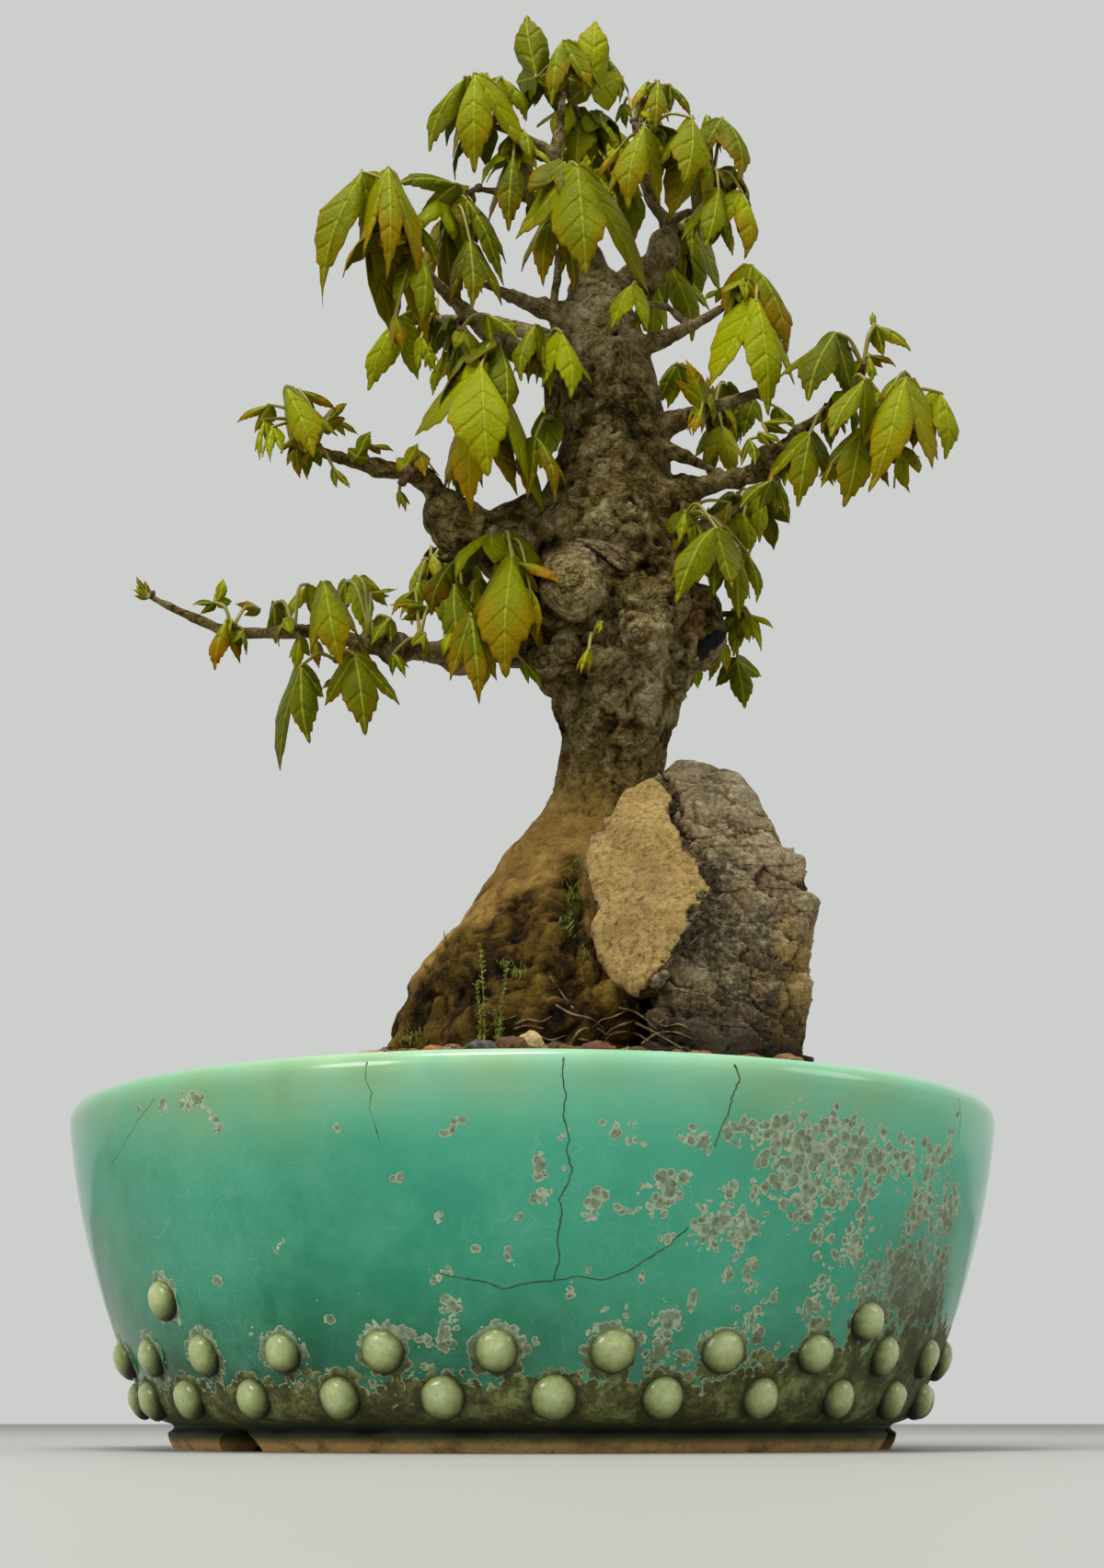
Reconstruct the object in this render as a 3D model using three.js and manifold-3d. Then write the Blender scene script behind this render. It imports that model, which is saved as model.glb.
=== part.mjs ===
// A trident maple bonsai with a rock, growing in a round studded pot.
// Millimetres, +Z up. The origin is the middle of the pot's foot, on the surface that the pot stands on.
// +X is the viewer's right and -Y is towards the viewer.

import * as THREE from 'three'
import { mergeVertices } from 'three/addons/utils/BufferGeometryUtils.js'
import { ConvexGeometry } from 'three/addons/geometries/ConvexGeometry.js'
import Module from 'manifold-3d'

const wasm = await Module()
wasm.setup()

// Driving dimensions of the pot
const rimRadius = 110.4
const rimHeight = 76.2
const footRadius = 82.3
const footHeight = 4.6
const floorTop = 12
const recessHeight = 4
const recessRadius = 71
const drainRadius = 9
const potSides = 40
const studRadius = 4.76
const studSink = 1.6
const studsInRow = 26
const studStep = 360 / studsInRow
const studRows = [{ z: 19.3, start: -3.8 }, { z: 10.5, start: 3.1 }]
const strayStuds = [
  { angle: -50.5, z: 30.5 },
  { angle: 45.5, z: 26 },
  { angle: 135, z: 28 },
  { angle: -140, z: 28 },
]
const notchAngles = [-47, 73, 193]
const notchHalfWidth = 7.5
const notchLength = 34
const notchSides = 16
const studFacets = { around: 6, deep: 3 }

// Driving dimensions of what the pot holds
const gap = 0.3
const rockSpare = 0.9
const screenRadius = 16
const screenThickness = 1
const screenSides = 20
const screenPitch = 5
const screenHole = 3.4
const soilCrown = 91
const soilInset = 0.36
const curveSamples = 40
const leafThickness = 0.6
const petioleRadius = 0.5
const petioleReach = 0.1
const shootRadius = 0.85
const budRadius = 1.9
const spurRadius = 0.9
const spurFoot = { most: 1.8, slope: 0.06 }
const spurSpare = 1.5

// The front view from which hand-read places are taken: px to the right, px down, and a depth in mm.
// The eye stands low in front of the pot and looks up at the tree.
const view = {
  focal: 2363,
  middleX: 600,
  middleY: 852,
  eye: new THREE.Vector3(4.6, -531.5, 6),
  pitch: THREE.MathUtils.degToRad(16.35),
}

const rad = THREE.MathUtils.degToRad

function seen(px, py, depth) {
  const across = (px - view.middleX) / view.focal
  const rise = (view.middleY - py) / view.focal
  const ahead = Math.cos(view.pitch) - rise * Math.sin(view.pitch)
  const climb = Math.sin(view.pitch) + rise * Math.cos(view.pitch)
  const reach = (depth - view.eye.y) / ahead
  return new THREE.Vector3(view.eye.x + across * reach, depth, view.eye.z + climb * reach)
}

// Closed meshes become solids for joining and cutting, and come back as meshes
function solid(geometry) {
  const bare = geometry.clone()
  bare.deleteAttribute('normal')
  bare.deleteAttribute('uv')
  const merged = mergeVertices(bare, 1e-4)
  return new wasm.Manifold(new wasm.Mesh({
    numProp: 3,
    vertProperties: new Float32Array(merged.attributes.position.array),
    triVerts: new Uint32Array(merged.index.array),
  }))
}

function joined(solids) {
  return solids.reduce((whole, next) => whole.add(next))
}

function largest(whole) {
  return whole.decompose().reduce((best, next) => (next.volume() > best.volume() ? next : best))
}

function boxesMeet(a, b) {
  const p = a.boundingBox()
  const q = b.boundingBox()
  return [0, 1, 2].every((axis) => p.min[axis] < q.max[axis] && q.min[axis] < p.max[axis])
}

function cutBy(whole, cutters) {
  const near = cutters.filter((cutter) => boxesMeet(whole, cutter))
  return near.reduce((rest, cutter) => rest.subtract(cutter), whole)
}

// A node is placed at its own anchor, and its mesh is kept relative to that anchor
function node(name, whole, anchor, material) {
  const mesh = whole.getMesh()
  const geometry = new THREE.BufferGeometry()
  geometry.setAttribute('position', new THREE.BufferAttribute(new Float32Array(mesh.vertProperties), 3))
  geometry.setIndex(new THREE.BufferAttribute(new Uint32Array(mesh.triVerts), 1))
  geometry.translate(-anchor.x, -anchor.y, -anchor.z)
  const part = new THREE.Mesh(geometry, material)
  part.name = name
  part.position.copy(anchor)
  return part
}

function finish(colour, roughness, metalness = 0) {
  return new THREE.MeshStandardMaterial({ color: colour, roughness, metalness })
}

const glaze = finish('#4fa98a', 0.18)
const screenPlastic = finish('#23262a', 0.5)
const grit = finish('#6f5d49', 0.95)
const stone = finish('#a68b6c', 0.9)
const bark = finish('#6b5f4c', 0.9)
const mossGreen = finish('#5d7a2c', 0.9)
const leafGreen = finish('#8aa61e', 0.5)

// A limb is a tapered tube along a smooth curve through stations, each with a point and a radius
const firstSide = new THREE.Vector3(1, 0.1, 0.05)

function curveFrames(curve, steps) {
  const frames = []
  let side = firstSide
  for (let step = 0; step <= steps; step += 1) {
    const along = curve.getTangent(step / steps)
    side = side.clone().addScaledVector(along, -side.dot(along)).normalize()
    frames.push({ point: curve.getPoint(step / steps), side, cross: side.clone().cross(along) })
  }
  return frames
}

function limb(stations, sides, steps, grow = 0) {
  const curve = new THREE.CatmullRomCurve3(stations.map((station) => station.point), false, 'centripetal')
  const frames = curveFrames(curve, steps)
  const geometry = new THREE.CylinderGeometry(1, 1, 1, sides, steps)
  const spots = geometry.attributes.position
  const last = stations.length - 1
  for (let index = 0; index < spots.count; index += 1) {
    const along = spots.getY(index) + 0.5
    const frame = frames[Math.round(along * steps)]
    const before = Math.min(Math.floor(along * last), last - 1)
    const radius = THREE.MathUtils.lerp(
      stations[before].radius, stations[before + 1].radius, along * last - before) + grow
    const spot = frame.point.clone()
      .addScaledVector(frame.side, spots.getX(index) * radius)
      .addScaledVector(frame.cross, spots.getZ(index) * radius)
    spots.setXYZ(index, spot.x, spot.y, spot.z)
  }
  return solid(geometry)
}

function lump(centre, radius, stretch = [1, 1, 1], detail = 1, grow = 0) {
  const geometry = new THREE.IcosahedronGeometry(1, detail)
  geometry.scale(radius * stretch[0] + grow, radius * stretch[1] + grow, radius * stretch[2] + grow)
  geometry.translate(centre.x, centre.y, centre.z)
  return solid(geometry)
}

function knob(centre, radius) {
  const geometry = new THREE.OctahedronGeometry(radius)
  geometry.translate(centre.x, centre.y, centre.z)
  return solid(geometry)
}

// Pot: turned wall, domed studs, foot notches and a drain hole
const potOutside = [
  [footRadius - 8, 0],
  [footRadius, 0],
  [84.6, footHeight - 0.6],
  [88.4, 7],
  [91.2, 12.5],
  [95, 20],
  [100, 32],
  [105.6, 49.5],
  [109.2, 66],
  [rimRadius, 72.6],
  [rimRadius - 2.6, rimHeight],
  [rimRadius - 6, 74.6],
]
const potInside = [
  [102.6, 66],
  [95.4, 38],
  [84, 16],
  [78, floorTop],
]

function wallRadiusAt(z) {
  const above = potOutside.findIndex(([, height], index) => index > 0 && height >= z)
  const [r1, z1] = potOutside[above]
  const [r0, z0] = potOutside[above - 1]
  return THREE.MathUtils.lerp(r0, r1, (z - z0) / (z1 - z0))
}

function turned(profile, sides) {
  const geometry = new THREE.LatheGeometry(profile.map(([r, z]) => new THREE.Vector2(r, z)), sides)
  geometry.rotateX(Math.PI / 2)
  return solid(geometry)
}

function around(angle, radius, z) {
  return new THREE.Vector3(Math.sin(rad(angle)) * radius, -Math.cos(rad(angle)) * radius, z)
}

function stud(angle, z) {
  const centre = around(angle, wallRadiusAt(z) - studSink, z)
  const dome = new THREE.SphereGeometry(studRadius, studFacets.around, studFacets.deep)
  dome.rotateZ(rad(angle))
  dome.translate(centre.x, centre.y, centre.z)
  return solid(dome)
}

function notch(angle) {
  const arch = new THREE.CylinderGeometry(1, 1, notchLength, notchSides)
  arch.scale(notchHalfWidth, 1, footHeight)
  arch.rotateZ(rad(angle))
  const middle = around(angle, (footRadius + recessRadius) / 2, 0)
  arch.translate(middle.x, middle.y, middle.z)
  return solid(arch)
}

function makePot() {
  const profile = [
    [drainRadius, floorTop],
    [drainRadius, recessHeight],
    [recessRadius, recessHeight],
    ...potOutside,
    ...potInside,
    [drainRadius, floorTop],
  ]
  const studs = studRows.flatMap((row) =>
    Array.from({ length: studsInRow }, (unused, index) => stud(row.start + index * studStep, row.z)))
  const strays = strayStuds.map((place) => stud(place.angle, place.z))
  const whole = joined([turned(profile, potSides), ...studs, ...strays])
  return cutBy(whole, notchAngles.map(notch))
}

// Drain screen: a round of plastic mesh that lies over the drain hole
function makeScreen() {
  const middle = floorTop + gap + screenThickness / 2
  const disc = new THREE.CylinderGeometry(screenRadius, screenRadius, screenThickness, screenSides)
  disc.rotateX(Math.PI / 2)
  disc.translate(0, 0, middle)
  const holes = []
  for (let row = -1; row <= 1; row += 1) {
    for (let column = -1; column <= 1; column += 1) {
      const hole = new THREE.BoxGeometry(screenHole, screenHole, screenThickness * 3)
      hole.translate(column * screenPitch, row * screenPitch, middle)
      holes.push(solid(hole))
    }
  }
  return cutBy(solid(disc), holes)
}

// Soil: fills the pot to a crown around the tree and leaves a trough inside the rim
const soilTop = [[0, soilCrown], [28, 89.6], [58, 83.5], [82, 77], [102.6, 70.6]]
const soilRim = [103.2, 70.4]

function soilHeight(x, y) {
  const reach = Math.hypot(x, y)
  const next = soilTop.findIndex(([r]) => r > reach)
  const [r0, z0] = soilTop[next - 1]
  const [r1, z1] = soilTop[next]
  return THREE.MathUtils.lerp(z0, z1, (reach - r0) / (r1 - r0))
}

function makeSoil() {
  const wall = [soilRim, ...potInside]
  const edge = wall.map(([r, z]) => [r - soilInset, z > floorTop ? z : z + soilInset])
  const hollow = screenRadius + 1
  const hollowTop = floorTop + screenThickness + gap * 2
  const profile = [
    [0, hollowTop],
    [hollow, hollowTop],
    [hollow, floorTop + soilInset],
    ...edge.reverse(),
    ...soilTop.slice(1, -1).reverse(),
    soilTop[0],
  ]
  return turned(profile, potSides)
}

// Tree: stations are [px right, px down, depth, radius] in the front view
function stationsOf(rows) {
  return rows.map(([px, py, depth, radius]) => ({ point: seen(px, py, depth), radius }))
}

const trunkRows = [
  [612, 1180, 6, 25],
  [612, 1075, 6, 25.5],
  [612, 1000, 6, 22],
  [638, 930, 5, 16.5],
  [655, 880, 4, 13.3],
  [662, 830, 3, 13.4],
  [668, 790, 2, 15.3],
  [670, 740, 2, 17.5],
  [680, 690, 2, 19.5],
  [672, 640, 1, 20.5],
  [655, 590, 0, 20],
  [662, 540, 0, 17],
  [668, 480, 0, 14.3],
  [662, 420, 0, 12.8],
  [655, 370, 0, 11],
  [648, 330, -1, 8.4],
  [655, 298, -2, 5.5],
]

const rootRows = {
  left: [
    [622, 915, 2, 9], [603, 940, 1, 11], [574, 988, -2, 12.5], [548, 1036, -6, 13.5], [500, 1095, -12, 13.5],
    [452, 1160, -18, 7],
  ],
  frontLeft: [
    [622, 935, -2, 10], [592, 985, -6, 13], [564, 1030, -12, 15], [530, 1090, -20, 15], [500, 1172, -32, 8],
  ],
  front: [[622, 945, -4, 12], [600, 1030, -14, 16], [588, 1100, -26, 13.5], [575, 1180, -38, 7]],
  between: [[640, 955, -2, 11], [645, 1040, -10, 12], [655, 1105, -22, 10.5], [668, 1180, -36, 6]],
  backLeft: [[614, 950, 10, 11], [588, 1000, 18, 13], [545, 1056, 26, 13], [480, 1165, 42, 6]],
  backRight: [[650, 965, 12, 12], [722, 1050, 28, 11.5], [780, 1172, 44, 5]],
  back: [[626, 960, 14, 12], [622, 1060, 36, 12.5], [630, 1186, 58, 6]],
}

const branchRows = {
  lowLeft: [
    [610, 700, -2, 8.5], [560, 702, -6, 6.6], [500, 710, -9, 5], [440, 705, -11, 4], [400, 700, -12, 3.4],
    [340, 686, -12, 2.7], [260, 688, -10, 2.2], [215, 673, -9, 1.8], [176, 655, -8, 1.4], [163, 648, -8, 1.1],
  ],
  midLeft: [
    [590, 560, -6, 9], [550, 572, -10, 6.5], [506, 577, -13, 5.6], [484, 552, -15, 4.4], [460, 520, -17, 4],
    [410, 508, -19, 3.5], [370, 498, -20, 2.5], [344, 489, -21, 1.6],
  ],
  highLeft: [
    [618, 400, -4, 6.5], [575, 388, -8, 5.4], [540, 368, -12, 4.2], [505, 338, -17, 3], [478, 311, -22, 2.2],
    [460, 292, -27, 1.6],
  ],
  stubLeft: [[640, 345, -2, 5], [590, 335, -7, 3.6], [556, 322, -10, 2.6], [527, 309, -13, 1.2]],
  leader: [
    [650, 300, -1, 4.6], [628, 250, -4, 3.4], [612, 205, -6, 2.8], [600, 168, -8, 2.4], [570, 150, -10, 2],
    [535, 136, -12, 1.3],
  ],
  crownTwig: [[602, 170, -8, 2], [609, 135, -7, 1.7], [612, 86, -5, 0.9]],
  leftLeader: [
    [622, 372, -4, 3.4], [602, 345, -8, 2.2], [606, 300, -9, 1.7], [612, 250, -8, 1.5], [612, 205, -6, 1.3],
  ],
  leaderLeft: [[628, 250, -4, 2.4], [600, 228, -10, 2], [560, 212, -14, 1.7], [524, 206, -16, 1]],
  rightLeader: [
    [660, 320, -1, 5.4], [690, 300, 0, 4.6], [718, 275, 2, 3.8], [726, 246, 2, 3.2], [708, 218, -2, 2.4],
    [697, 180, -6, 1.8], [690, 140, -8, 1],
  ],
  rightTwig: [[724, 244, 2, 2.2], [745, 232, 0, 1.8], [764, 227, -4, 1.3], [774, 200, -9, 0.9]],
  midRight: [[690, 378, -4, 4], [722, 368, -8, 3], [752, 354, -12, 2.4], [787, 334, -15, 1.2]],
  midRightSpur: [[752, 354, -12, 1.7], [738, 345, -8, 1.5], [724, 332, -4, 1.1]],
  cutBranch: [[720, 465, -4, 4.2], [752, 452, -9, 3.2], [790, 438, -14, 2.4], [830, 425, -18, 2]],
  deadStub: [[712, 484, -6, 3.6], [745, 497, -9, 2.4], [781, 513, -11, 0.8]],
  lowRight: [
    [706, 545, -4, 6.5], [750, 532, -10, 4.6], [800, 520, -18, 3.8], [838, 506, -25, 4], [868, 470, -29, 2.8],
    [903, 446, -33, 1.6],
  ],
  lowRightFork: [[842, 508, -26, 3], [880, 501, -30, 2.2], [930, 500, -35, 1.7], [972, 500, -38, 1]],
  backRight: [[672, 470, 6, 6], [705, 458, 22, 4.2], [742, 452, 34, 3], [775, 446, 42, 1.6]],
  backRightLow: [[684, 640, 12, 6.5], [725, 600, 26, 4.4], [770, 570, 38, 3], [815, 545, 46, 1.6]],
  backLeft: [[655, 400, 6, 5.6], [600, 370, 22, 4], [540, 352, 34, 3], [476, 346, 42, 1.5]],
  backLeftLow: [[650, 600, 12, 6.5], [590, 600, 28, 4.4], [530, 600, 40, 3], [470, 610, 50, 1.5]],
  backHigh: [[654, 330, 4, 4.4], [640, 280, 20, 3.2], [636, 235, 32, 2.2], [640, 195, 40, 1.2]],
  backMiddle: [[664, 520, 10, 5.6], [660, 500, 30, 4], [650, 470, 46, 2.8], [640, 440, 58, 1.4]],
}

// Burls and knots: [px right, px down, depth, radius, stretch along x, y and z]
const burlRows = [
  [626, 643, -13, 11.5, 1, 0.75, 0.95],
  [708, 666, -15, 9.5, 1, 0.7, 0.95],
  [766, 680, -2, 11, 0.62, 1, 1.2],
  [596, 714, -10, 6, 1, 1, 1],
  [556, 592, -4, 10, 1, 1, 1.1],
  [742, 545, -2, 6, 0.8, 1, 1.3],
  [640, 452, -9, 7, 1, 0.7, 1.3],
  [500, 573, -13, 8, 1, 1, 0.95],
  [640, 805, -8, 6, 0.9, 0.8, 1.2],
  [742, 742, 0, 7, 0.8, 1, 1.1],
  [722, 272, 0, 5, 0.9, 1, 1.3],
  [700, 620, 14, 12, 1, 1, 1.2],
  [640, 700, 14, 10, 1, 1, 1.2],
]

const roundedBurl = 9
const trunkSides = 10
const trunkSteps = 20
const rootSides = 7
const branchSides = 5

function makeBareTree(grow) {
  const trunk = limb(stationsOf(trunkRows), trunkSides, trunkSteps, grow)
  const roots = Object.values(rootRows).map((rows) => limb(stationsOf(rows), rootSides, rows.length + 1, grow))
  const branches = Object.values(branchRows).map((rows) =>
    limb(stationsOf(rows), branchSides, rows.length, grow))
  const burls = burlRows.map(([px, py, depth, radius, ...stretch]) =>
    lump(seen(px, py, depth), radius, stretch, radius > roundedBurl ? 1 : 0, grow))
  return joined([trunk, ...roots, ...branches, ...burls])
}

// Each spray of leaves grows from a bud, [px right, px down, depth], on a short wooden spur. Some go on as a
// green shoot through more points. A leaf is [px and px of its stalk end, depth, px and px of its tip, depth,
// width, turn], where the turn in degrees says how far the blade faces to the viewer's right. Two more pairs
// give a long or short left and right side lobe: its length beside the middle lobe, and its angle from it.
const sprayRows = {
  crown: {
    bud: [612, 80, -5],
    shoot: [[626, 122, 0], [638, 130, 2]],
    leaves: [
      [583, 84, -12, 573, 17, -10, 1.15, -10],
      [590, 82, -2, 606, 132, 3, 0.8, 20],
      [612, 44, -14, 599, 117, -16, 0.6, -20],
      [623, 45, -7, 637, 104, -12, 0.7, 15],
      [643, 100, -3, 648, 22, -2, 0.95, 5],
      [660, 62, 6, 674, 112, 4, 0.45, 25],
      [634, 124, 5, 626, 182, -4, 0.9, -10],
      [646, 124, 6, 690, 178, 8, 0.8, 25],
    ],
  },
  top_left_tip: {
    bud: [527, 136, -12],
    leaves: [
      [506, 84, -18, 466, 165, -14, 0.75, -35],
      [517, 80, -22, 515, 186, -24, 0.7, -5],
      [529, 80, -14, 546, 132, -16, 0.5, 30],
      [545, 84, -6, 573, 131, -4, 0.8, 35],
    ],
  },
  top_left_under: {
    bud: [562, 152, -12],
    leaves: [
      [556, 160, -14, 524, 201, -18, 0.7, -40],
      [572, 160, -16, 603, 184, -19, 0.4, 30],
      [558, 168, -18, 552, 248, -20, 0.7, -5],
      [568, 168, -8, 575, 214, -4, 0.8, 20],
    ],
  },
  front_top: {
    bud: [608, 205, -12],
    shoot: [[614, 190, -24]],
    leaves: [
      [627, 180, -32, 637, 299, -36, 1.05, 0, 0.95, 50, 1.1, 34],
      [602, 225, -18, 590, 310, -16, 0.6, -10],
      [618, 262, -12, 623, 317, -10, 0.5, 10],
    ],
  },
  top_right: {
    bud: [690, 133, -9],
    shoot: [[700, 150, -14]],
    leaves: [
      [704, 89, -12, 686, 120, -14, 0.7, -30],
      [715, 88, -14, 712, 142, -18, 0.7, 0],
      [727, 92, -6, 752, 128, -4, 0.6, 30],
      [678, 114, 6, 681, 140, 8, 0.8, -10],
      [752, 128, -22, 743, 197, -30, 1.15, 10],
      [700, 139, -24, 683, 228, -28, 0.75, -10],
      [676, 158, -16, 648, 196, -14, 0.5, -40],
      [722, 162, -8, 727, 190, -6, 0.6, 0],
    ],
  },
  top_right_tip: {
    bud: [775, 193, -11],
    leaves: [
      [785, 128, -14, 803, 198, -20, 0.8, 25],
      [768, 126, -8, 772, 170, -8, 0.4, -5],
      [762, 150, -16, 768, 262, -16, 0.3, 40],
      [806, 208, -18, 812, 279, -20, 0.75, 30],
      [781, 206, -22, 766, 268, -26, 0.85, 5],
      [783, 238, -4, 797, 278, 0, 0.8, 20],
      [752, 203, 6, 742, 222, 6, 0.9, 0],
    ],
  },
  right_high_back: {
    bud: [738, 254, 12],
    leaves: [
      [752, 242, 22, 750, 345, 27, 0.95, 5],
      [728, 288, 14, 752, 372, 20, 0.9, 10],
      [713, 312, 4, 712, 380, 0, 0.65, 0],
    ],
  },
  trunk_top_right: {
    bud: [694, 330, -10],
    leaves: [
      [688, 309, -22, 664, 357, -26, 0.9, -20],
      [697, 342, -16, 690, 362, -18, 0.5, 0],
    ],
  },
  upper_left: {
    bud: [518, 205, -17],
    shoot: [[504, 212, -20], [494, 226, -20]],
    leaves: [
      [497, 200, -24, 428, 200, -30, 0.65, -30],
      [506, 216, -24, 548, 311, -18, 0.35, 20],
      [511, 262, -26, 512, 337, -30, 0.65, 0],
      [484, 240, -14, 500, 345, -10, 0.55, -5],
    ],
  },
  upper_left_tip: {
    bud: [456, 286, -30],
    shoot: [[446, 262, -34], [438, 236, -36]],
    leaves: [
      [396, 192, -38, 350, 332, -40, 1.05, -25, 0.5, 44, 1.2, 36],
      [420, 182, -32, 422, 304, -46, 0.45, 5],
      [448, 240, -24, 476, 288, -24, 0.6, 15],
      [434, 268, -26, 466, 376, -22, 0.4, 10],
      [430, 342, -36, 437, 382, -36, 0.5, 0],
    ],
  },
  upper_left_back: {
    bud: [474, 346, 44],
    leaves: [
      [432, 346, 40, 399, 424, 42, 0.9, -15],
      [458, 366, 36, 474, 404, 36, 0.7, 10],
      [470, 330, 60, 462, 400, 68, 1, 160],
    ],
  },
  left_hanging: {
    bud: [498, 352, -12],
    shoot: [[500, 360, -24]],
    leaves: [
      [497, 376, -8, 492, 438, -4, 0.8, 5],
      [482, 384, -4, 470, 430, 2, 0.7, -15],
      [512, 364, -18, 518, 402, -20, 0.6, 0],
      [530, 342, -27, 562, 368, -29, 0.8, 15],
    ],
  },
  trunk_top_front: {
    bud: [594, 378, -15],
    leaves: [
      [582, 353, -22, 566, 414, -26, 0.85, -15],
      [592, 364, -18, 598, 430, -18, 0.6, 0],
      [610, 361, -26, 620, 433, -30, 0.9, 15],
    ],
  },
  big_front_left: {
    bud: [540, 386, -20],
    leaves: [
      [523, 397, -32, 530, 513, -42, 1.15, 0, 0.85, 46, 1.25, 30],
      [516, 436, -23, 513, 558, -26, 0.55, -5],
      [503, 462, -10, 503, 552, -8, 0.45, -15],
    ],
  },
  trunk_left_high: {
    bud: [598, 456, -14],
    leaves: [[582, 474, -19, 604, 545, -24, 0.4, 15]],
  },
  mid_left_tip: {
    bud: [343, 488, -22],
    leaves: [
      [312, 420, -32, 341, 498, -36, 1, -5],
      [294, 440, -26, 257, 459, -24, 0.5, -40],
      [288, 456, -30, 282, 500, -32, 0.3, -20],
      [297, 464, -34, 294, 503, -38, 0.3, -10],
      [325, 424, -22, 366, 446, -18, 0.55, 30],
      [322, 482, -12, 326, 520, -8, 0.7, -5],
      [352, 462, -18, 379, 437, -14, 0.4, 20],
      [366, 456, -12, 390, 472, -10, 0.5, 30],
      [362, 508, -24, 381, 530, -26, 0.5, 10],
    ],
  },
  mid_left_inner: {
    bud: [396, 488, -22],
    leaves: [
      [388, 497, -26, 403, 469, -26, 1.2, 0],
      [404, 484, -20, 428, 490, -18, 0.7, 20],
    ],
  },
  mid_left_elbow: {
    bud: [446, 500, -21],
    shoot: [[444, 514, -26], [437, 526, -24]],
    leaves: [
      [440, 508, -24, 454, 481, -24, 1.1, 0],
      [452, 488, -18, 462, 516, -26, 0.8, 10],
      [434, 534, -18, 441, 557, -18, 0.5, 0],
    ],
  },
  low_left_tip: {
    bud: [163, 648, -8],
    leaves: [
      [160, 645, -8, 148, 626, -9, 0.5, -10],
      [160, 650, -10, 144, 640, -13, 0.5, 10],
    ],
  },
  low_left_outer: {
    bud: [252, 684, -16],
    leaves: [
      [236, 655, -12, 243, 629, -12, 1.15, 0],
      [234, 655, -14, 209, 657, -16, 0.6, -10],
      [246, 674, -18, 233, 728, -20, 0.75, -10],
      [258, 680, -14, 256, 710, -14, 0.4, 10],
      [282, 662, -6, 256, 656, -8, 0.8, 0],
    ],
  },
  low_left_middle: {
    bud: [320, 685, -18],
    leaves: [
      [298, 657, -4, 300, 700, 0, 1.25, -5],
      [335, 635, -8, 314, 680, -12, 0.75, -25],
      [326, 694, -17, 321, 730, -15, 0.85, -5],
    ],
  },
  low_left_front: {
    bud: [354, 684, -15],
    leaves: [
      [352, 633, -26, 372, 726, -30, 0.85, 5],
      [343, 697, -14, 347, 726, -14, 0.7, 0],
    ],
  },
  low_left_hanging: {
    bud: [386, 704, -15],
    shoot: [[366, 718, -18]],
    leaves: [
      [327, 724, -22, 336, 807, -24, 1.05, -5, 1.55, 24, 0.65, 30],
      [372, 735, -8, 350, 748, -8, 0.8, -20],
      [386, 712, -24, 397, 799, -28, 1.05, 5],
      [404, 720, -12, 406, 746, -10, 0.7, 10],
    ],
  },
  low_left_upper: {
    bud: [402, 688, -10],
    leaves: [
      [390, 628, 2, 396, 688, 4, 1, 0],
      [376, 632, 8, 374, 668, 12, 0.8, -10],
      [403, 645, -4, 432, 640, -4, 0.3, 10],
      [424, 672, -18, 403, 700, -22, 0.8, -20],
      [415, 670, -10, 420, 697, -8, 0.7, 10],
    ],
  },
  low_mid_left: {
    bud: [456, 696, -19],
    leaves: [
      [465, 660, -16, 424, 657, -20, 0.6, -10],
      [450, 642, -8, 425, 668, -10, 0.6, -20],
      [428, 710, -19, 441, 737, -19, 0.6, 10],
    ],
  },
  low_mid_right: {
    bud: [508, 696, -19],
    leaves: [
      [496, 607, -4, 468, 668, -6, 1.1, -15],
      [494, 636, -22, 500, 716, -26, 0.85, -10],
      [520, 630, -16, 510, 700, -18, 0.7, 0],
      [512, 668, -32, 521, 766, -34, 0.5, 5],
      [530, 662, -19, 533, 709, -20, 0.6, 10],
      [531, 718, -18, 525, 748, -17, 1, 0],
      [569, 718, -12, 588, 750, -12, 0.6, 10],
    ],
  },
  trunk_left_front: {
    bud: [548, 588, -15],
    leaves: [
      [556, 606, -28, 550, 735, -36, 0.95, 0],
      [560, 611, -22, 610, 633, -27, 0.5, 20],
      [576, 640, -24, 583, 695, -26, 0.3, 40],
    ],
  },
  trunk_burl: {
    bud: [645, 692, -21],
    leaves: [
      [654, 676, -26, 650, 689, -27, 0.7, 0],
      [640, 704, -26, 631, 733, -28, 0.4, -10],
    ],
  },
  right_high: {
    bud: [789, 332, -16],
    shoot: [[806, 322, -18], [822, 318, -20]],
    leaves: [
      [783, 314, -12, 765, 326, -12, 0.8, -20],
      [800, 312, -24, 813, 340, -26, 0.9, 10],
      [796, 342, -14, 789, 385, -14, 0.9, -5],
      [817, 288, -24, 858, 381, -26, 0.85, 25],
      [822, 325, -30, 838, 447, -34, 0.6, 10],
      [841, 354, -20, 811, 382, -22, 0.95, -10],
      [842, 372, -14, 830, 412, -12, 0.6, 0],
    ],
  },
  right_young: {
    bud: [764, 441, -15],
    leaves: [
      [765, 437, -18, 745, 390, -22, 0.65, -10],
      [767, 437, -15, 769, 407, -14, 0.35, 10],
      [763, 443, -20, 753, 473, -24, 0.6, 0],
    ],
  },
  right_back: {
    bud: [776, 446, 44],
    leaves: [
      [736, 396, 38, 714, 440, 42, 0.85, -10],
      [742, 396, 42, 765, 452, 44, 0.9, 10],
      [785, 465, 38, 800, 522, 40, 0.8, 5],
      [775, 468, 46, 770, 522, 50, 0.8, -5],
      [818, 436, 42, 808, 475, 44, 1.1, 0],
      [845, 443, 46, 866, 466, 48, 0.9, 15],
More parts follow.
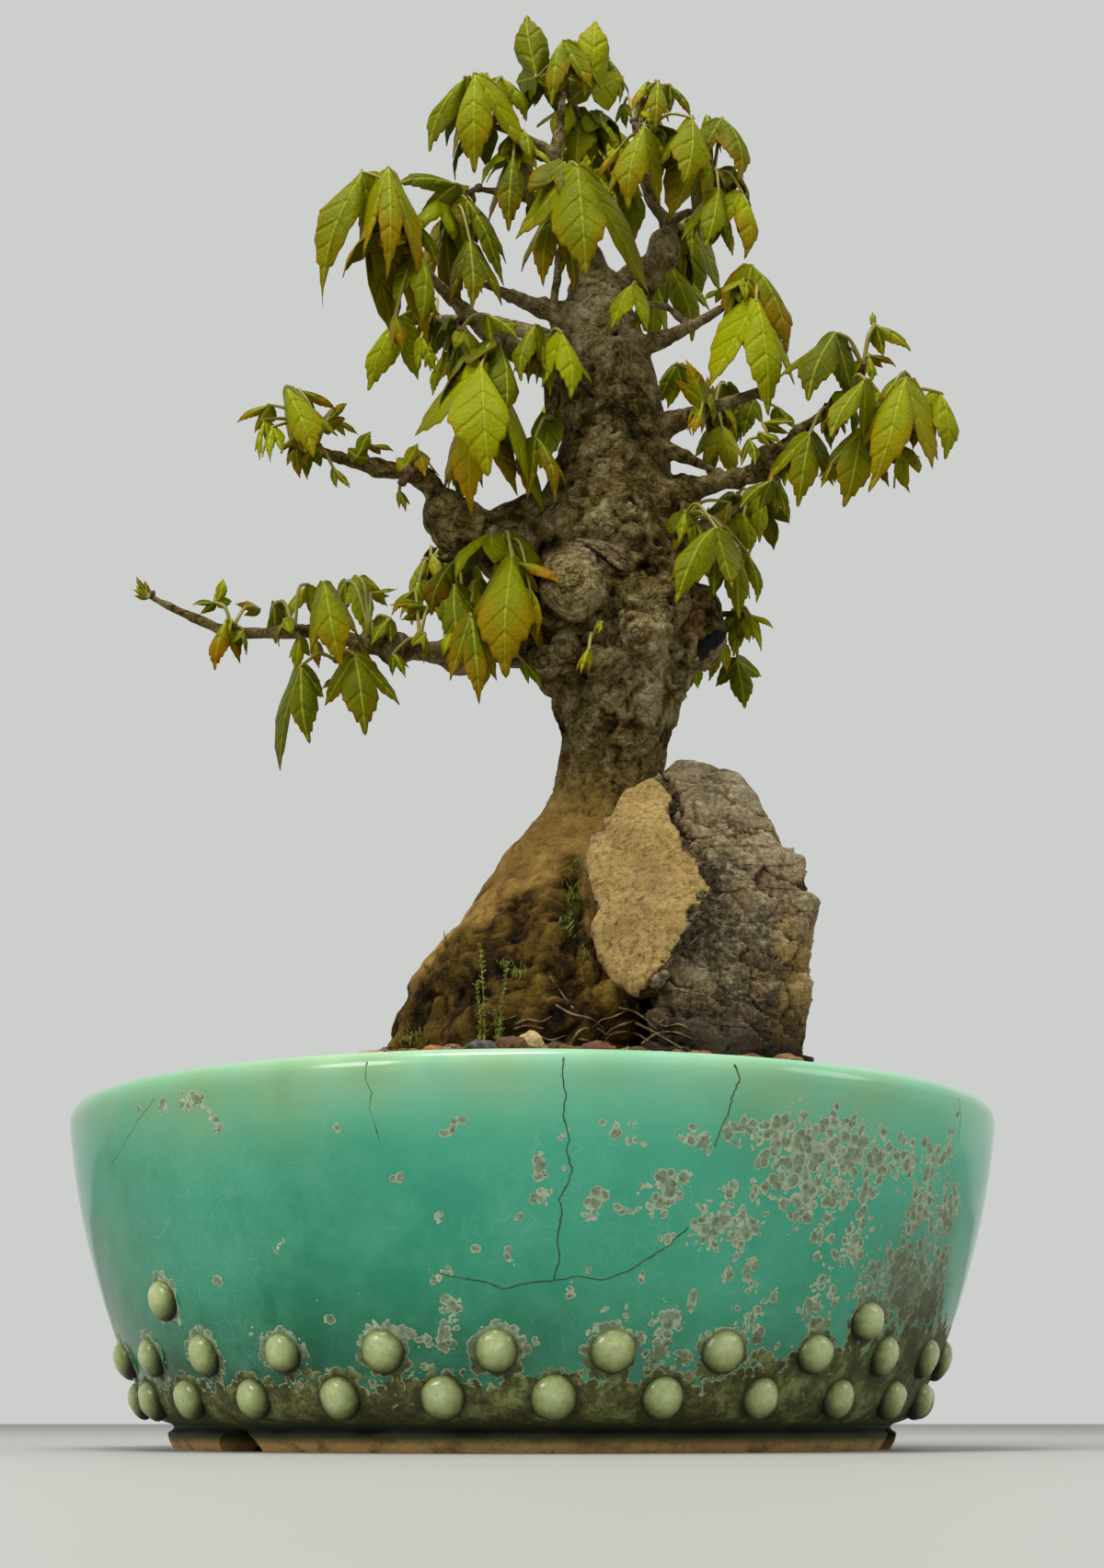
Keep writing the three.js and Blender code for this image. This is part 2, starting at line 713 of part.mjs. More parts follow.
      [790, 420, 58, 800, 490, 68, 1, 170],
    ],
  },
  right_inner: {
    bud: [838, 487, -33],
    leaves: [
      [815, 477, -32, 820, 505, -36, 0.8, 0],
      [825, 470, -35, 850, 482, -36, 0.6, 10],
      [829, 460, -33, 864, 458, -37, 0.5, 5],
    ],
  },
  right_under: {
    bud: [842, 518, -29],
    leaves: [
      [838, 522, -34, 804, 551, -36, 0.8, -20],
      [842, 524, -30, 854, 560, -30, 0.45, 10],
      [849, 532, -24, 858, 570, -24, 0.35, 25],
    ],
  },
  right_fork: {
    bud: [904, 445, -34],
    shoot: [[922, 428, -36], [938, 398, -36]],
    leaves: [
      [908, 362, -40, 878, 436, -46, 1, -15],
      [911, 376, -34, 917, 430, -34, 0.75, 5],
      [952, 354, -38, 990, 382, -40, 0.8, 20],
      [950, 352, -36, 948, 337, -36, 0.3, 0],
      [945, 386, -32, 975, 398, -30, 0.5, 25],
      [944, 386, -38, 947, 417, -38, 0.8, 0],
      [880, 472, -38, 867, 550, -38, 0.85, -5],
      [940, 412, -46, 902, 476, -52, 0.65, -10],
    ],
  },
  right_end: {
    bud: [974, 500, -38],
    shoot: [[962, 474, -40], [968, 446, -40]],
    leaves: [
      [984, 404, -38, 950, 443, -40, 0.6, -20],
      [985, 411, -46, 944, 532, -52, 0.6, -10],
      [1002, 447, -36, 1020, 500, -34, 0.6, 20],
      [1022, 427, -40, 1028, 499, -41, 0.95, 15],
      [978, 500, -38, 1001, 497, -38, 0.5, 10],
    ],
  },
  right_end_under: {
    bud: [930, 493, -40],
    leaves: [
      [936, 470, -41, 917, 550, -43, 0.95, -5],
      [905, 503, -39, 892, 530, -39, 0.6, -10],
    ],
  },
  low_right_front: {
    bud: [742, 566, -10],
    leaves: [
      [778, 573, -26, 734, 656, -34, 0.75, -20],
      [781, 575, -20, 776, 648, -20, 0.8, 0],
      [745, 556, -15, 737, 590, -17, 0.8, -10],
      [792, 546, -12, 786, 576, -11, 0.5, 0],
      [800, 592, -18, 804, 672, -20, 0.75, 5],
      [812, 600, -10, 823, 655, -10, 0.6, 25],
    ],
  },
  low_right_side: {
    bud: [803, 666, 0],
    leaves: [
      [815, 668, -6, 841, 683, -6, 0.5, 20],
      [812, 672, -4, 828, 708, -4, 0.4, 25],
      [800, 670, 4, 797, 714, 6, 0.95, 0],
      [785, 700, 8, 770, 740, 10, 0.7, -15],
      [801, 718, 12, 810, 770, 14, 1.2, 5],
    ],
  },
  trunk_back_right: {
    bud: [772, 694, 18],
    leaves: [[757, 726, 20, 742, 757, 22, 0.8, -15]],
  },
  right_back_low: {
    bud: [816, 544, 48],
    leaves: [
      [808, 560, 40, 815, 602, 42, 1.1, 5],
      [828, 534, 42, 826, 590, 44, 0.8, 10],
      [800, 540, 60, 806, 612, 70, 1, 165],
      [770, 556, 56, 752, 622, 64, 0.9, -160],
      [846, 520, 54, 852, 560, 60, 0.9, 130],
    ],
  },
  left_back_low: {
    bud: [468, 610, 52],
    leaves: [
      [480, 628, 44, 486, 690, 44, 0.9, 0],
      [500, 590, 58, 520, 660, 68, 1, 170],
      [470, 600, 64, 470, 664, 74, 1, -170],
      [456, 630, 47, 448, 680, 45, 0.8, -20],
    ],
  },
  back_high: {
    bud: [640, 194, 40.6],
    leaves: [
      [640, 165, 46, 640, 262, 62, 1.1, 180],
      [608, 178, 44, 590, 262, 54, 0.95, -150],
      [672, 182, 42, 690, 262, 52, 0.95, 150],
      [652, 140, 38, 668, 196, 32, 0.8, 20],
    ],
  },
  back_middle: {
    bud: [640, 439, 58.6],
    leaves: [
      [636, 400, 68, 630, 512, 82, 1.15, 180],
      [606, 420, 62, 586, 510, 70, 0.95, -155],
      [668, 420, 62, 690, 510, 70, 0.95, 155],
      [616, 380, 56, 600, 430, 50, 0.8, -30],
    ],
  },
}

// A leaf blade in its own flat frame, from its stalk end at 0,0 to its middle tip at 1,0
const lobeTip = { along: 0.72, out: 0.52 }
const lobeLength = 0.88
const lobeSpread = 36
const foldAngle = rad(26)

function leafFrame([stalkX, stalkY, stalkDepth, tipX, tipY, tipDepth, width, turn, ...lobes]) {
  const usual = [lobeLength, lobeSpread * width, lobeLength, lobeSpread * width]
  const [leftLength, leftAngle, rightLength, rightAngle] = lobes.length ? lobes : usual
  const stalk = seen(stalkX, stalkY, stalkDepth)
  const axis = seen(tipX, tipY, tipDepth).sub(stalk)
  const length = axis.length()
  axis.normalize()
  const facing = new THREE.Vector3(Math.sin(rad(turn)), -Math.cos(rad(turn)), 0)
  facing.addScaledVector(axis, -facing.dot(axis)).normalize()
  const right = facing.clone().cross(axis)
  const lobe = (side, ratio, angle) => axis.clone().multiplyScalar(Math.cos(rad(angle)))
    .addScaledVector(right, side * Math.sin(rad(angle)) * Math.cos(foldAngle))
    .addScaledVector(facing, -Math.sin(rad(angle)) * Math.sin(foldAngle))
    .multiplyScalar(ratio * length)
  const lobeVectors = { 1: lobe(1, rightLength, rightAngle), '-1': lobe(-1, leftLength, leftAngle) }
  const place = (along, out, side) => {
    const sideways = out / lobeTip.out
    return stalk.clone()
      .addScaledVector(axis, (along - sideways * lobeTip.along) * length)
      .addScaledVector(lobeVectors[side], sideways)
  }
  return { stalk, axis, facing, length, place }
}

function blade(frame, thickness) {
  const sheet = [frame.place(0, 0, 1), frame.place(lobeTip.along, lobeTip.out, 1), frame.place(1, 0, 1),
    frame.place(lobeTip.along, lobeTip.out, -1)]
  const top = [[0, 2, 1], [0, 3, 2]]
  const rim = [2, 1, 0, 3]
  const count = sheet.length
  const bottom = top.map(([a, b, c]) => [a + count, c + count, b + count])
  const wall = rim.flatMap((a, index) => {
    const b = rim[(index + 1) % rim.length]
    return [[b, a, a + count], [b, a + count, b + count]]
  })
  const lift = frame.facing.clone().multiplyScalar(thickness / 2)
  const raised = sheet.map((spot) => spot.clone().add(lift))
  const lowered = sheet.map((spot) => spot.clone().sub(lift))
  const places = [...raised, ...lowered].flatMap((spot) => spot.toArray())
  const geometry = new THREE.BufferGeometry()
  geometry.setAttribute('position', new THREE.Float32BufferAttribute(places, 3))
  geometry.setIndex([...top, ...bottom, ...wall].flat())
  return solid(geometry)
}

function rod(from, to, startRadius, endRadius, sides) {
  const along = to.clone().sub(from)
  const geometry = new THREE.CylinderGeometry(endRadius, startRadius, along.length(), sides)
  geometry.translate(0, along.length() / 2, 0)
  geometry.applyQuaternion(new THREE.Quaternion().setFromUnitVectors(
    new THREE.Vector3(0, 1, 0), along.clone().normalize()))
  geometry.translate(from.x, from.y, from.z)
  return solid(geometry)
}

function nearestOn(points, target) {
  const spots = points.length > 1
    ? new THREE.CatmullRomCurve3(points, false, 'centripetal').getPoints(curveSamples)
    : points
  return spots.reduce((best, spot) => (spot.distanceTo(target) < best.distanceTo(target) ? spot : best))
}

function shootPoints(spray) {
  return [spray.bud, ...(spray.shoot ?? [])].map((row) => seen(...row))
}

function makeSpray(spray, grow) {
  const shoot = shootPoints(spray)
  const stems = shoot.slice(1).flatMap((spot, index) => [
    rod(shoot[index], spot, shootRadius + grow, shootRadius + grow, 3),
    knob(spot, shootRadius * 1.5 + grow),
  ])
  const blades = spray.leaves.flatMap((row) => {
    const frame = leafFrame(row)
    const attached = frame.place(petioleReach, 0, 1)
    const origin = nearestOn(shoot, attached)
    return [
      blade(frame, leafThickness + grow * 2),
      rod(origin, attached, petioleRadius + grow, grow, 3),
    ]
  })
  return joined([knob(shoot[0], budRadius + grow), ...stems, ...blades])
}

// A wooden spur runs from the nearest limb to each bud
const limbRows = [trunkRows, ...Object.values(branchRows)]
const limbPaths = limbRows.map((rows) => rows.map(([px, py, depth]) => seen(px, py, depth)))

function spur(spray, grow) {
  const bud = seen(...spray.bud)
  const feet = limbPaths.map((points) => nearestOn(points, bud))
  const foot = feet.reduce((best, spot) => (spot.distanceTo(bud) < best.distanceTo(bud) ? spot : best))
  const reach = foot.distanceTo(bud)
  if (reach < spurSpare * 2) return []
  const thick = Math.min(spurFoot.most, spurRadius + reach * spurFoot.slope)
  return [rod(foot, bud.lerp(foot, spurSpare / reach), thick + grow, spurRadius + grow, 3)]
}

function makeTree(grow) {
  return joined([makeBareTree(grow), ...Object.values(sprayRows).flatMap((spray) => spur(spray, grow))])
}

// Rock: two leaning layers of stone and a slab at the right, from corner points in the front view
const rockLayers = [
  [
    [712, 843, -16], [675, 863, -20], [637, 930, -28], [655, 986, -34], [647, 1035, -38], [667, 1068, -42],
    [694, 1084, -46], [720, 1060, -50], [750, 1000, -48], [775, 966, -44], [742, 913, -34], [728, 863, -22],
    [712, 850, 6], [684, 905, 8], [700, 1100, 10], [760, 1000, 10],
  ],
  [
    [716, 838, -12], [735, 828, -10], [760, 831, -13], [800, 845, -11], [822, 870, -12], [828, 900, -16],
    [850, 930, -18], [882, 965, -20], [872, 1012, -26], [876, 1085, -28], [870, 1185, -28], [790, 1182, -50],
    [735, 1110, -50], [702, 1180, -48], [722, 1020, -42], [752, 950, -34], [740, 840, 12], [800, 860, 15],
    [858, 960, 20], [866, 1205, 22], [722, 1205, 24],
  ],
  [
    [852, 1012, -10], [882, 1016, -18], [880, 1062, -20], [878, 1190, -22], [850, 1190, -36],
    [846, 1030, -32],
  ],
]

function rockLayer(rows, grow) {
  const corners = rows.map((row) => seen(...row))
  const middle = new THREE.Box3().setFromPoints(corners).getCenter(new THREE.Vector3())
  const pushed = corners.map((corner) => {
    const outward = corner.clone().sub(middle)
    return corner.clone().addScaledVector(outward.normalize(), grow)
  })
  return solid(new ConvexGeometry(pushed))
}

function makeRock(grow) {
  return joined(rockLayers.map((rows) => rockLayer(rows, grow)))
}

// Pebbles lie on the soil, sunk a little
// [name, colour, px right, depth, half width, half depth, half height, turn]
const pebbleRows = [
  ['pebble_pale', '#b9ab94', 405, -64, 4.2, 3, 2.4, 20],
  ['pebble_orange', '#a9683a', 471, -66, 2.8, 2.5, 2.3, 50],
  ['pebble_grey', '#4c4a48', 524, -66, 4.6, 2.8, 2.5, -15],
  ['pebble_tan', '#c2ab78', 576, -64, 3.1, 2.8, 3.4, 10],
  ['pebble_red', '#8a4a35', 650, -68, 4.2, 3, 2.6, 35],
  ['pebble_rust', '#94563a', 761, -66, 4.2, 3, 2.6, -25],
]
const soilLine = 1130
const pebbleRise = 0.55

function pebbleCentre([, , px, depth, , , halfHeight]) {
  const spot = seen(px, soilLine, depth)
  return new THREE.Vector3(spot.x, depth, soilHeight(spot.x, depth) + halfHeight * pebbleRise)
}

function makePebble(row, grow) {
  const [, , , , halfWidth, halfDepth, halfHeight, turn] = row
  const geometry = new THREE.IcosahedronGeometry(1, 1)
  geometry.scale(halfWidth + grow, halfDepth + grow, halfHeight + grow)
  geometry.rotateZ(rad(turn))
  const centre = pebbleCentre(row)
  geometry.translate(centre.x, centre.y, centre.z)
  return solid(geometry)
}

// Moss sprigs: an upright stem on a small cushion, [name, px right, depth, height, lean]
const mossStem = { foot: 1.1, tip: 0.7, sides: 6 }
const mossCushion = { radius: 1.6, stretch: [1, 1, 0.8] }
const mossRows = [
  ['moss_sprig_tall', 524, -46, 24, -1],
  ['moss_sprig_short', 541, -44, 20, 3],
]

function mossFoot([, px, depth]) {
  const spot = seen(px, soilLine, depth)
  return new THREE.Vector3(spot.x, depth, soilHeight(spot.x, depth))
}

function makeMoss(row, grow) {
  const [, , , height, lean] = row
  const foot = mossFoot(row)
  const tip = foot.clone().add(new THREE.Vector3(lean, 0, height))
  const cushion = lump(foot, mossCushion.radius, mossCushion.stretch, 1, grow)
  return cushion.add(rod(foot, tip, mossStem.foot + grow, mossStem.tip + grow, mossStem.sides))
}

// Everything is cut clear of what it grows through or rests on, by a copy swollen by the gap
const group = new THREE.Group()
const origin = new THREE.Vector3(0, 0, 0)
const treeFoot = new THREE.Vector3(8, 6, 80)
const rockFoot = new THREE.Vector3(42, -16, 90)

const tree = makeTree(0)
const treeClearance = makeTree(gap)
const rock = largest(cutBy(makeRock(0), [treeClearance]))
const rockClearance = makeRock(rockSpare)

group.add(node('pot', makePot(), origin, glaze))
group.add(node('drain_screen', makeScreen(), origin, screenPlastic))
group.add(node('tree', tree, treeFoot, bark))
group.add(node('rock', rock, rockFoot, stone))

const standing = [treeClearance, rockClearance]
for (const row of pebbleRows) {
  const [name, colour] = row
  group.add(node(name, cutBy(makePebble(row, 0), standing), pebbleCentre(row), finish(colour, 0.8)))
}
const pebbleClearances = pebbleRows.map((row) => makePebble(row, gap))
for (const row of mossRows) {
  const clear = largest(cutBy(makeMoss(row, 0), [...standing, ...pebbleClearances]))
  group.add(node(row[0], clear, mossFoot(row), mossGreen))
}
const mossClearances = mossRows.map((row) => makeMoss(row, gap))
const soil = largest(cutBy(makeSoil(), [...standing, ...pebbleClearances, ...mossClearances]))
group.add(node('soil', soil, origin, grit))

const taken = [treeClearance, rockClearance]
for (const [name, spray] of Object.entries(sprayRows)) {
  const whole = largest(cutBy(makeSpray(spray, 0), taken))
  taken.push(makeSpray(spray, gap))
  group.add(node(`leaves_${name}`, whole, shootPoints(spray)[0], leafGreen))
}

export default group
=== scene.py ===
# A trident maple bonsai and its rock in a round studded pot: the fine shapes and finishes.
# Tables and shapes are in millimetres until to_piece turns them to metres. Materials and stage use metres.

import random
from math import atan2, cos, degrees, dist, exp, floor, hypot, pi, radians, sin, sqrt, tau

import bmesh
import bpy
from mathutils import Matrix, Vector
from mathutils.bvhtree import BVHTree
from mathutils.kdtree import KDTree
from mathutils.noise import noise


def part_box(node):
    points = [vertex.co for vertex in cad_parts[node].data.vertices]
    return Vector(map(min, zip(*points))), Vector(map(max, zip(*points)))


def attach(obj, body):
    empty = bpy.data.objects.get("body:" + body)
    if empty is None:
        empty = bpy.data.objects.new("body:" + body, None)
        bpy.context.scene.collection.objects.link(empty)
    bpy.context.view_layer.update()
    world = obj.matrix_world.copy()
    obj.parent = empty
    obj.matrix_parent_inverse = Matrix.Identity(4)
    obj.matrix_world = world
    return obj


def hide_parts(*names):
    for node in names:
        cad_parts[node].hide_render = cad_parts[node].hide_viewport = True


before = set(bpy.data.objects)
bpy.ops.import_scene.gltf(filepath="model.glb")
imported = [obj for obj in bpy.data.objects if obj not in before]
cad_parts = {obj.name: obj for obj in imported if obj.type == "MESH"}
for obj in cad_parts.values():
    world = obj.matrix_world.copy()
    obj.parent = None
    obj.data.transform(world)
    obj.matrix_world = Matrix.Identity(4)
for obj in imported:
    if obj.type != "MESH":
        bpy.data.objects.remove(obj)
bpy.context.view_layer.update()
MM = 0.001
# Mesh size of the tree's and the rock's skins
BARK_VOXEL, ROCK_VOXEL = 0.93, 0.72

# Front view: places are read as pixels to the right and down, with a depth in mm behind the axis
FOCAL = 2363
MIDDLE = (600, 852)
EYE = Vector((4.6, -531.5, 6.0))
PITCH = radians(16.35)
IMAGE_HEIGHT = 1704


def seen(px, py, depth):
    """The place, at a depth, that the front view shows at a pixel."""
    across = (px - MIDDLE[0]) / FOCAL
    rise = (MIDDLE[1] - py) / FOCAL
    ahead = cos(PITCH) - rise * sin(PITCH)
    climb = sin(PITCH) + rise * cos(PITCH)
    reach = (depth - EYE.y) / ahead
    return Vector((EYE.x + across * reach, depth, EYE.z + climb * reach))


def pixel_of(spot):
    """The pixel at which the front view shows a place."""
    off = spot - EYE
    forward = off.y * cos(PITCH) + off.z * sin(PITCH)
    up = off.z * cos(PITCH) - off.y * sin(PITCH)
    return MIDDLE[0] + FOCAL * off.x / forward, MIDDLE[1] - FOCAL * up / forward


def smooth(low, high, value):
    """0 at low and beyond it, 1 at high and beyond it, with a soft step between."""
    t = min(max((value - low) / (high - low), 0), 1)
    return t * t * (3 - 2 * t)


def track(points, amount):
    """Where a table of rising (place, value) pairs stands at amount."""
    for (a, low), (b, high) in zip(points, points[1:]):
        if amount <= b:
            return low + (high - low) * (amount - a) / (b - a)
    return points[-1][1]


def curve_through(points, steps):
    """Points along a smooth curve through the given ones, a few steps to each span."""
    ends = [points[0] * 2 - points[1], *points, points[-1] * 2 - points[-2]]
    found = []
    for a, b, c, d in zip(ends, ends[1:], ends[2:], ends[3:]):
        for step in range(steps):
            t = step / steps
            bend = (2 * a - 5 * b + 4 * c - d) * t**2 + (3 * b - a - 3 * c + d) * t**3
            found.append(0.5 * (2 * b + (c - a) * t + bend))
    return found + [points[-1].copy()]


def lookup(places):
    """A search tree over places."""
    found = KDTree(len(places))
    for index, place in enumerate(places):
        found.insert(place, index)
    found.balance()
    return found


def drawn(luck, *spans):
    """A vector whose parts are drawn from these (low, high) spans."""
    return Vector([luck.uniform(*span) for span in spans])


# Materials
def linear(colour):
    """A hex sRGB colour as the linear one that shaders take."""
    parts = [int(colour[i : i + 2], 16) / 255 for i in (1, 3, 5)]
    return (*[p / 12.92 if p <= 0.04045 else ((p + 0.055) / 1.055) ** 2.4 for p in parts], 1)


def new_material(name):
    """A material and the function that adds its nodes."""
    material = bpy.data.materials.new(name)
    material.use_nodes = True
    tree = material.node_tree
    tree.nodes.clear()

    def add(kind, inputs=(), stops=(), **settings):
        """Adds a node and returns its outputs. Inputs are values, hex colours or other nodes' outputs."""
        node = tree.nodes.new("ShaderNode" + kind)
        for key, value in settings.items():
            setattr(node, key, value)
        for key, value in inputs.items() if isinstance(inputs, dict) else enumerate(inputs):
            if isinstance(value, bpy.types.bpy_prop_collection):
                value = value[0]
            if isinstance(value, bpy.types.NodeSocket):
                tree.links.new(value, node.inputs[key])
            else:
                node.inputs[key].default_value = linear(value) if isinstance(value, str) else value
        for place, _ in stops[1:-1]:
            node.color_ramp.elements.new(place)
        for index, (place, colour) in enumerate(stops):
            element = node.color_ramp.elements[index]
            element.position, element.color = place, linear(colour)
        return node.outputs

    return material, add


# Shapes
def tube(bm, points, radii, sides=8):
    """A round limb through points, with its own radius at each, closed by small domes."""
    rows = len(points) - 1
    made = bmesh.ops.create_grid(bm, x_segments=rows + 2, y_segments=sides, size=0.5)["verts"]
    side = Vector((1, 0.1, 0.05))
    rings = []
    for index, point in enumerate(points):
        ahead = points[min(index + 1, rows)] - points[max(index - 1, 0)]
        ahead.normalize()
        side = (side - ahead * side.dot(ahead)).normalized()
        rings.append((point, side, side.cross(ahead), ahead))
    for vert in made:
        row = round((vert.co.x + 0.5) * (rows + 2)) - 1
        turn = (vert.co.y + 0.5) * tau
        point, across, up, ahead = rings[min(max(row, 0), rows)]
        radius = radii[min(max(row, 0), rows)]
        if row < 0:
            vert.co = point - ahead * radius * 0.4
        elif row > rows:
            vert.co = point + ahead * radius * 0.4
        else:
            vert.co = point + (across * cos(turn) + up * sin(turn)) * radius
    bmesh.ops.remove_doubles(bm, verts=made, dist=1e-7)
    made = [vert for vert in made if vert.is_valid]
    faces = {face for vert in made for face in vert.link_faces}
    bmesh.ops.recalc_face_normals(bm, faces=list(faces))
    return made, faces


def lump(bm, centre, size, detail=2, turn=0.0):
    """A ball with three half widths, turned about the upright axis."""
    matrix = Matrix.Translation(centre) @ Matrix.Rotation(turn, 4, "Z") @ Matrix.Diagonal((*size, 1))
    return bmesh.ops.create_icosphere(bm, subdivisions=detail, radius=1, matrix=matrix)["verts"]


def held(name, bm):
    """An object in the scene that takes over a shape."""
    mesh = bpy.data.meshes.new(name)
    bm.to_mesh(mesh)
    bm.free()
    made = bpy.data.objects.new(name, mesh)
    bpy.context.scene.collection.objects.link(made)
    return made


def to_piece(name, bm, materials, slot, *nodes):
    """Makes a shape, in millimetres, a finished piece that stands for the CAD nodes."""
    bmesh.ops.scale(bm, vec=(MM, MM, MM), verts=bm.verts)
    piece = held(name, bm)
    piece.data.shade_smooth()
    for material in materials:
        piece.data.materials.append(material)
    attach(piece, "root")
    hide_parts(*nodes)
    return piece


def modified(*drafts):
    """The shape that the modifiers of the first draft make. The drafts are removed."""
    bpy.context.view_layer.update()
    shown = drafts[0].evaluated_get(bpy.context.evaluated_depsgraph_get())
    result = bmesh.new()
    result.from_mesh(shown.to_mesh())
    for draft in drafts:
        mesh = draft.data
        bpy.data.objects.remove(draft)
        bpy.data.meshes.remove(mesh)
    return result


def remeshed(bm, voxel):
    """The outer skin of overlapping shapes as one even mesh."""
    draft = held("joined", bm)
    skin = draft.modifiers.new("skin", "REMESH")
    skin.mode, skin.voxel_size = "VOXEL", voxel
    return modified(draft)


def cut(bm, cutter):
    """The first shape less the second."""
    draft, knife = held("blank", bm), held("knife", cutter)
    carving = draft.modifiers.new("cut", "BOOLEAN")
    carving.operation, carving.solver, carving.object = "DIFFERENCE", "EXACT", knife
    return modified(draft, knife)


def soften(bm, turns=1):
    """Evens a skin out."""
    for _ in range(turns):
        bmesh.ops.smooth_vert(
            bm, verts=bm.verts, factor=0.5, use_axis_x=True, use_axis_y=True, use_axis_z=True)


def spun(profile, steps, closed):
    """A profile of (radius, height) pairs turned about the upright axis."""
    bm = bmesh.new()
    verts = [bm.verts.new((radius, 0, z)) for radius, z in profile]
    for a, b in zip(verts, verts[1:] + verts[:closed]):
        bm.edges.new((a, b))
    bmesh.ops.spin(bm, geom=bm.verts[:] + bm.edges[:], cent=(0, 0, 0), axis=(0, 0, 1), dvec=(0, 0, 0),
                   angle=tau, steps=steps, use_merge=True, use_duplicate=False)
    bmesh.ops.remove_doubles(bm, verts=bm.verts, dist=1e-4)
    bmesh.ops.recalc_face_normals(bm, faces=bm.faces)
    return bm


def box_of(name):
    """The two corners of a node's box, in millimetres."""
    return [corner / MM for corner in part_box(name)]


# Places on the pot, in millimetres: (radius, height) pairs, and angles from the front towards the right
WALL = [
    (84.6, 5.9), (86.6, 6.6), (88.6, 7.8), (90.2, 10), (91.4, 13), (93.2, 16.5), (95.2, 20.4), (97.6, 26),
    (100, 32), (102.2, 38.3), (104.2, 44.6), (105.9, 50.5), (107.4, 57), (108.6, 62.5), (109.5, 67.5),
    (110.1, 71), (110.3, 73),
]
FOOT = [
    (82.4, 0), (82.9, 0.5), (83.7, 1.8), (84.2, 3.3), (84, 3.8), (83.3, 4.2), (82.9, 4.7), (83, 5.2),
    (83.6, 5.6),
]
LIP = [
    (110, 74.6), (109.2, 75.7), (108.1, 76.2), (106.9, 75.9), (105.6, 75), (104.6, 73.6), (104, 71.5),
    (103.2, 68), (102.4, 65),
]
INSIDE = [(95.4, 38), (84, 16), (78, 12), (9, 12), (9, 4), (71, 4), (74.3, 0)]
WALL_BY_HEIGHT = [(z, r) for r, z in WALL]
SPIN_STEPS = 480
STUD_STEP = 13.85
STUD_ROWS = [(-3.8, 19.3), (3.1, 10.5)]
STRAY_STUDS = [(-50.5, 30.5), (45.5, 26), (135, 28), (-140, 28)]
STUD_COUNT = 26
NOTCHES = (-47, 73, 193)
NOTCH_WIDTH, NOTCH_HEIGHT = 15, 4.6
# Glaze marks are laid on the outer wall only, where a pixel is 0.235 mm and a stud's halo ends 20 mm away
POT_PIXEL, NO_STUD, INNER_WALL, LIP_TOP = 0.235, 20, 80, 75.5
BACK_SPOTS = 46

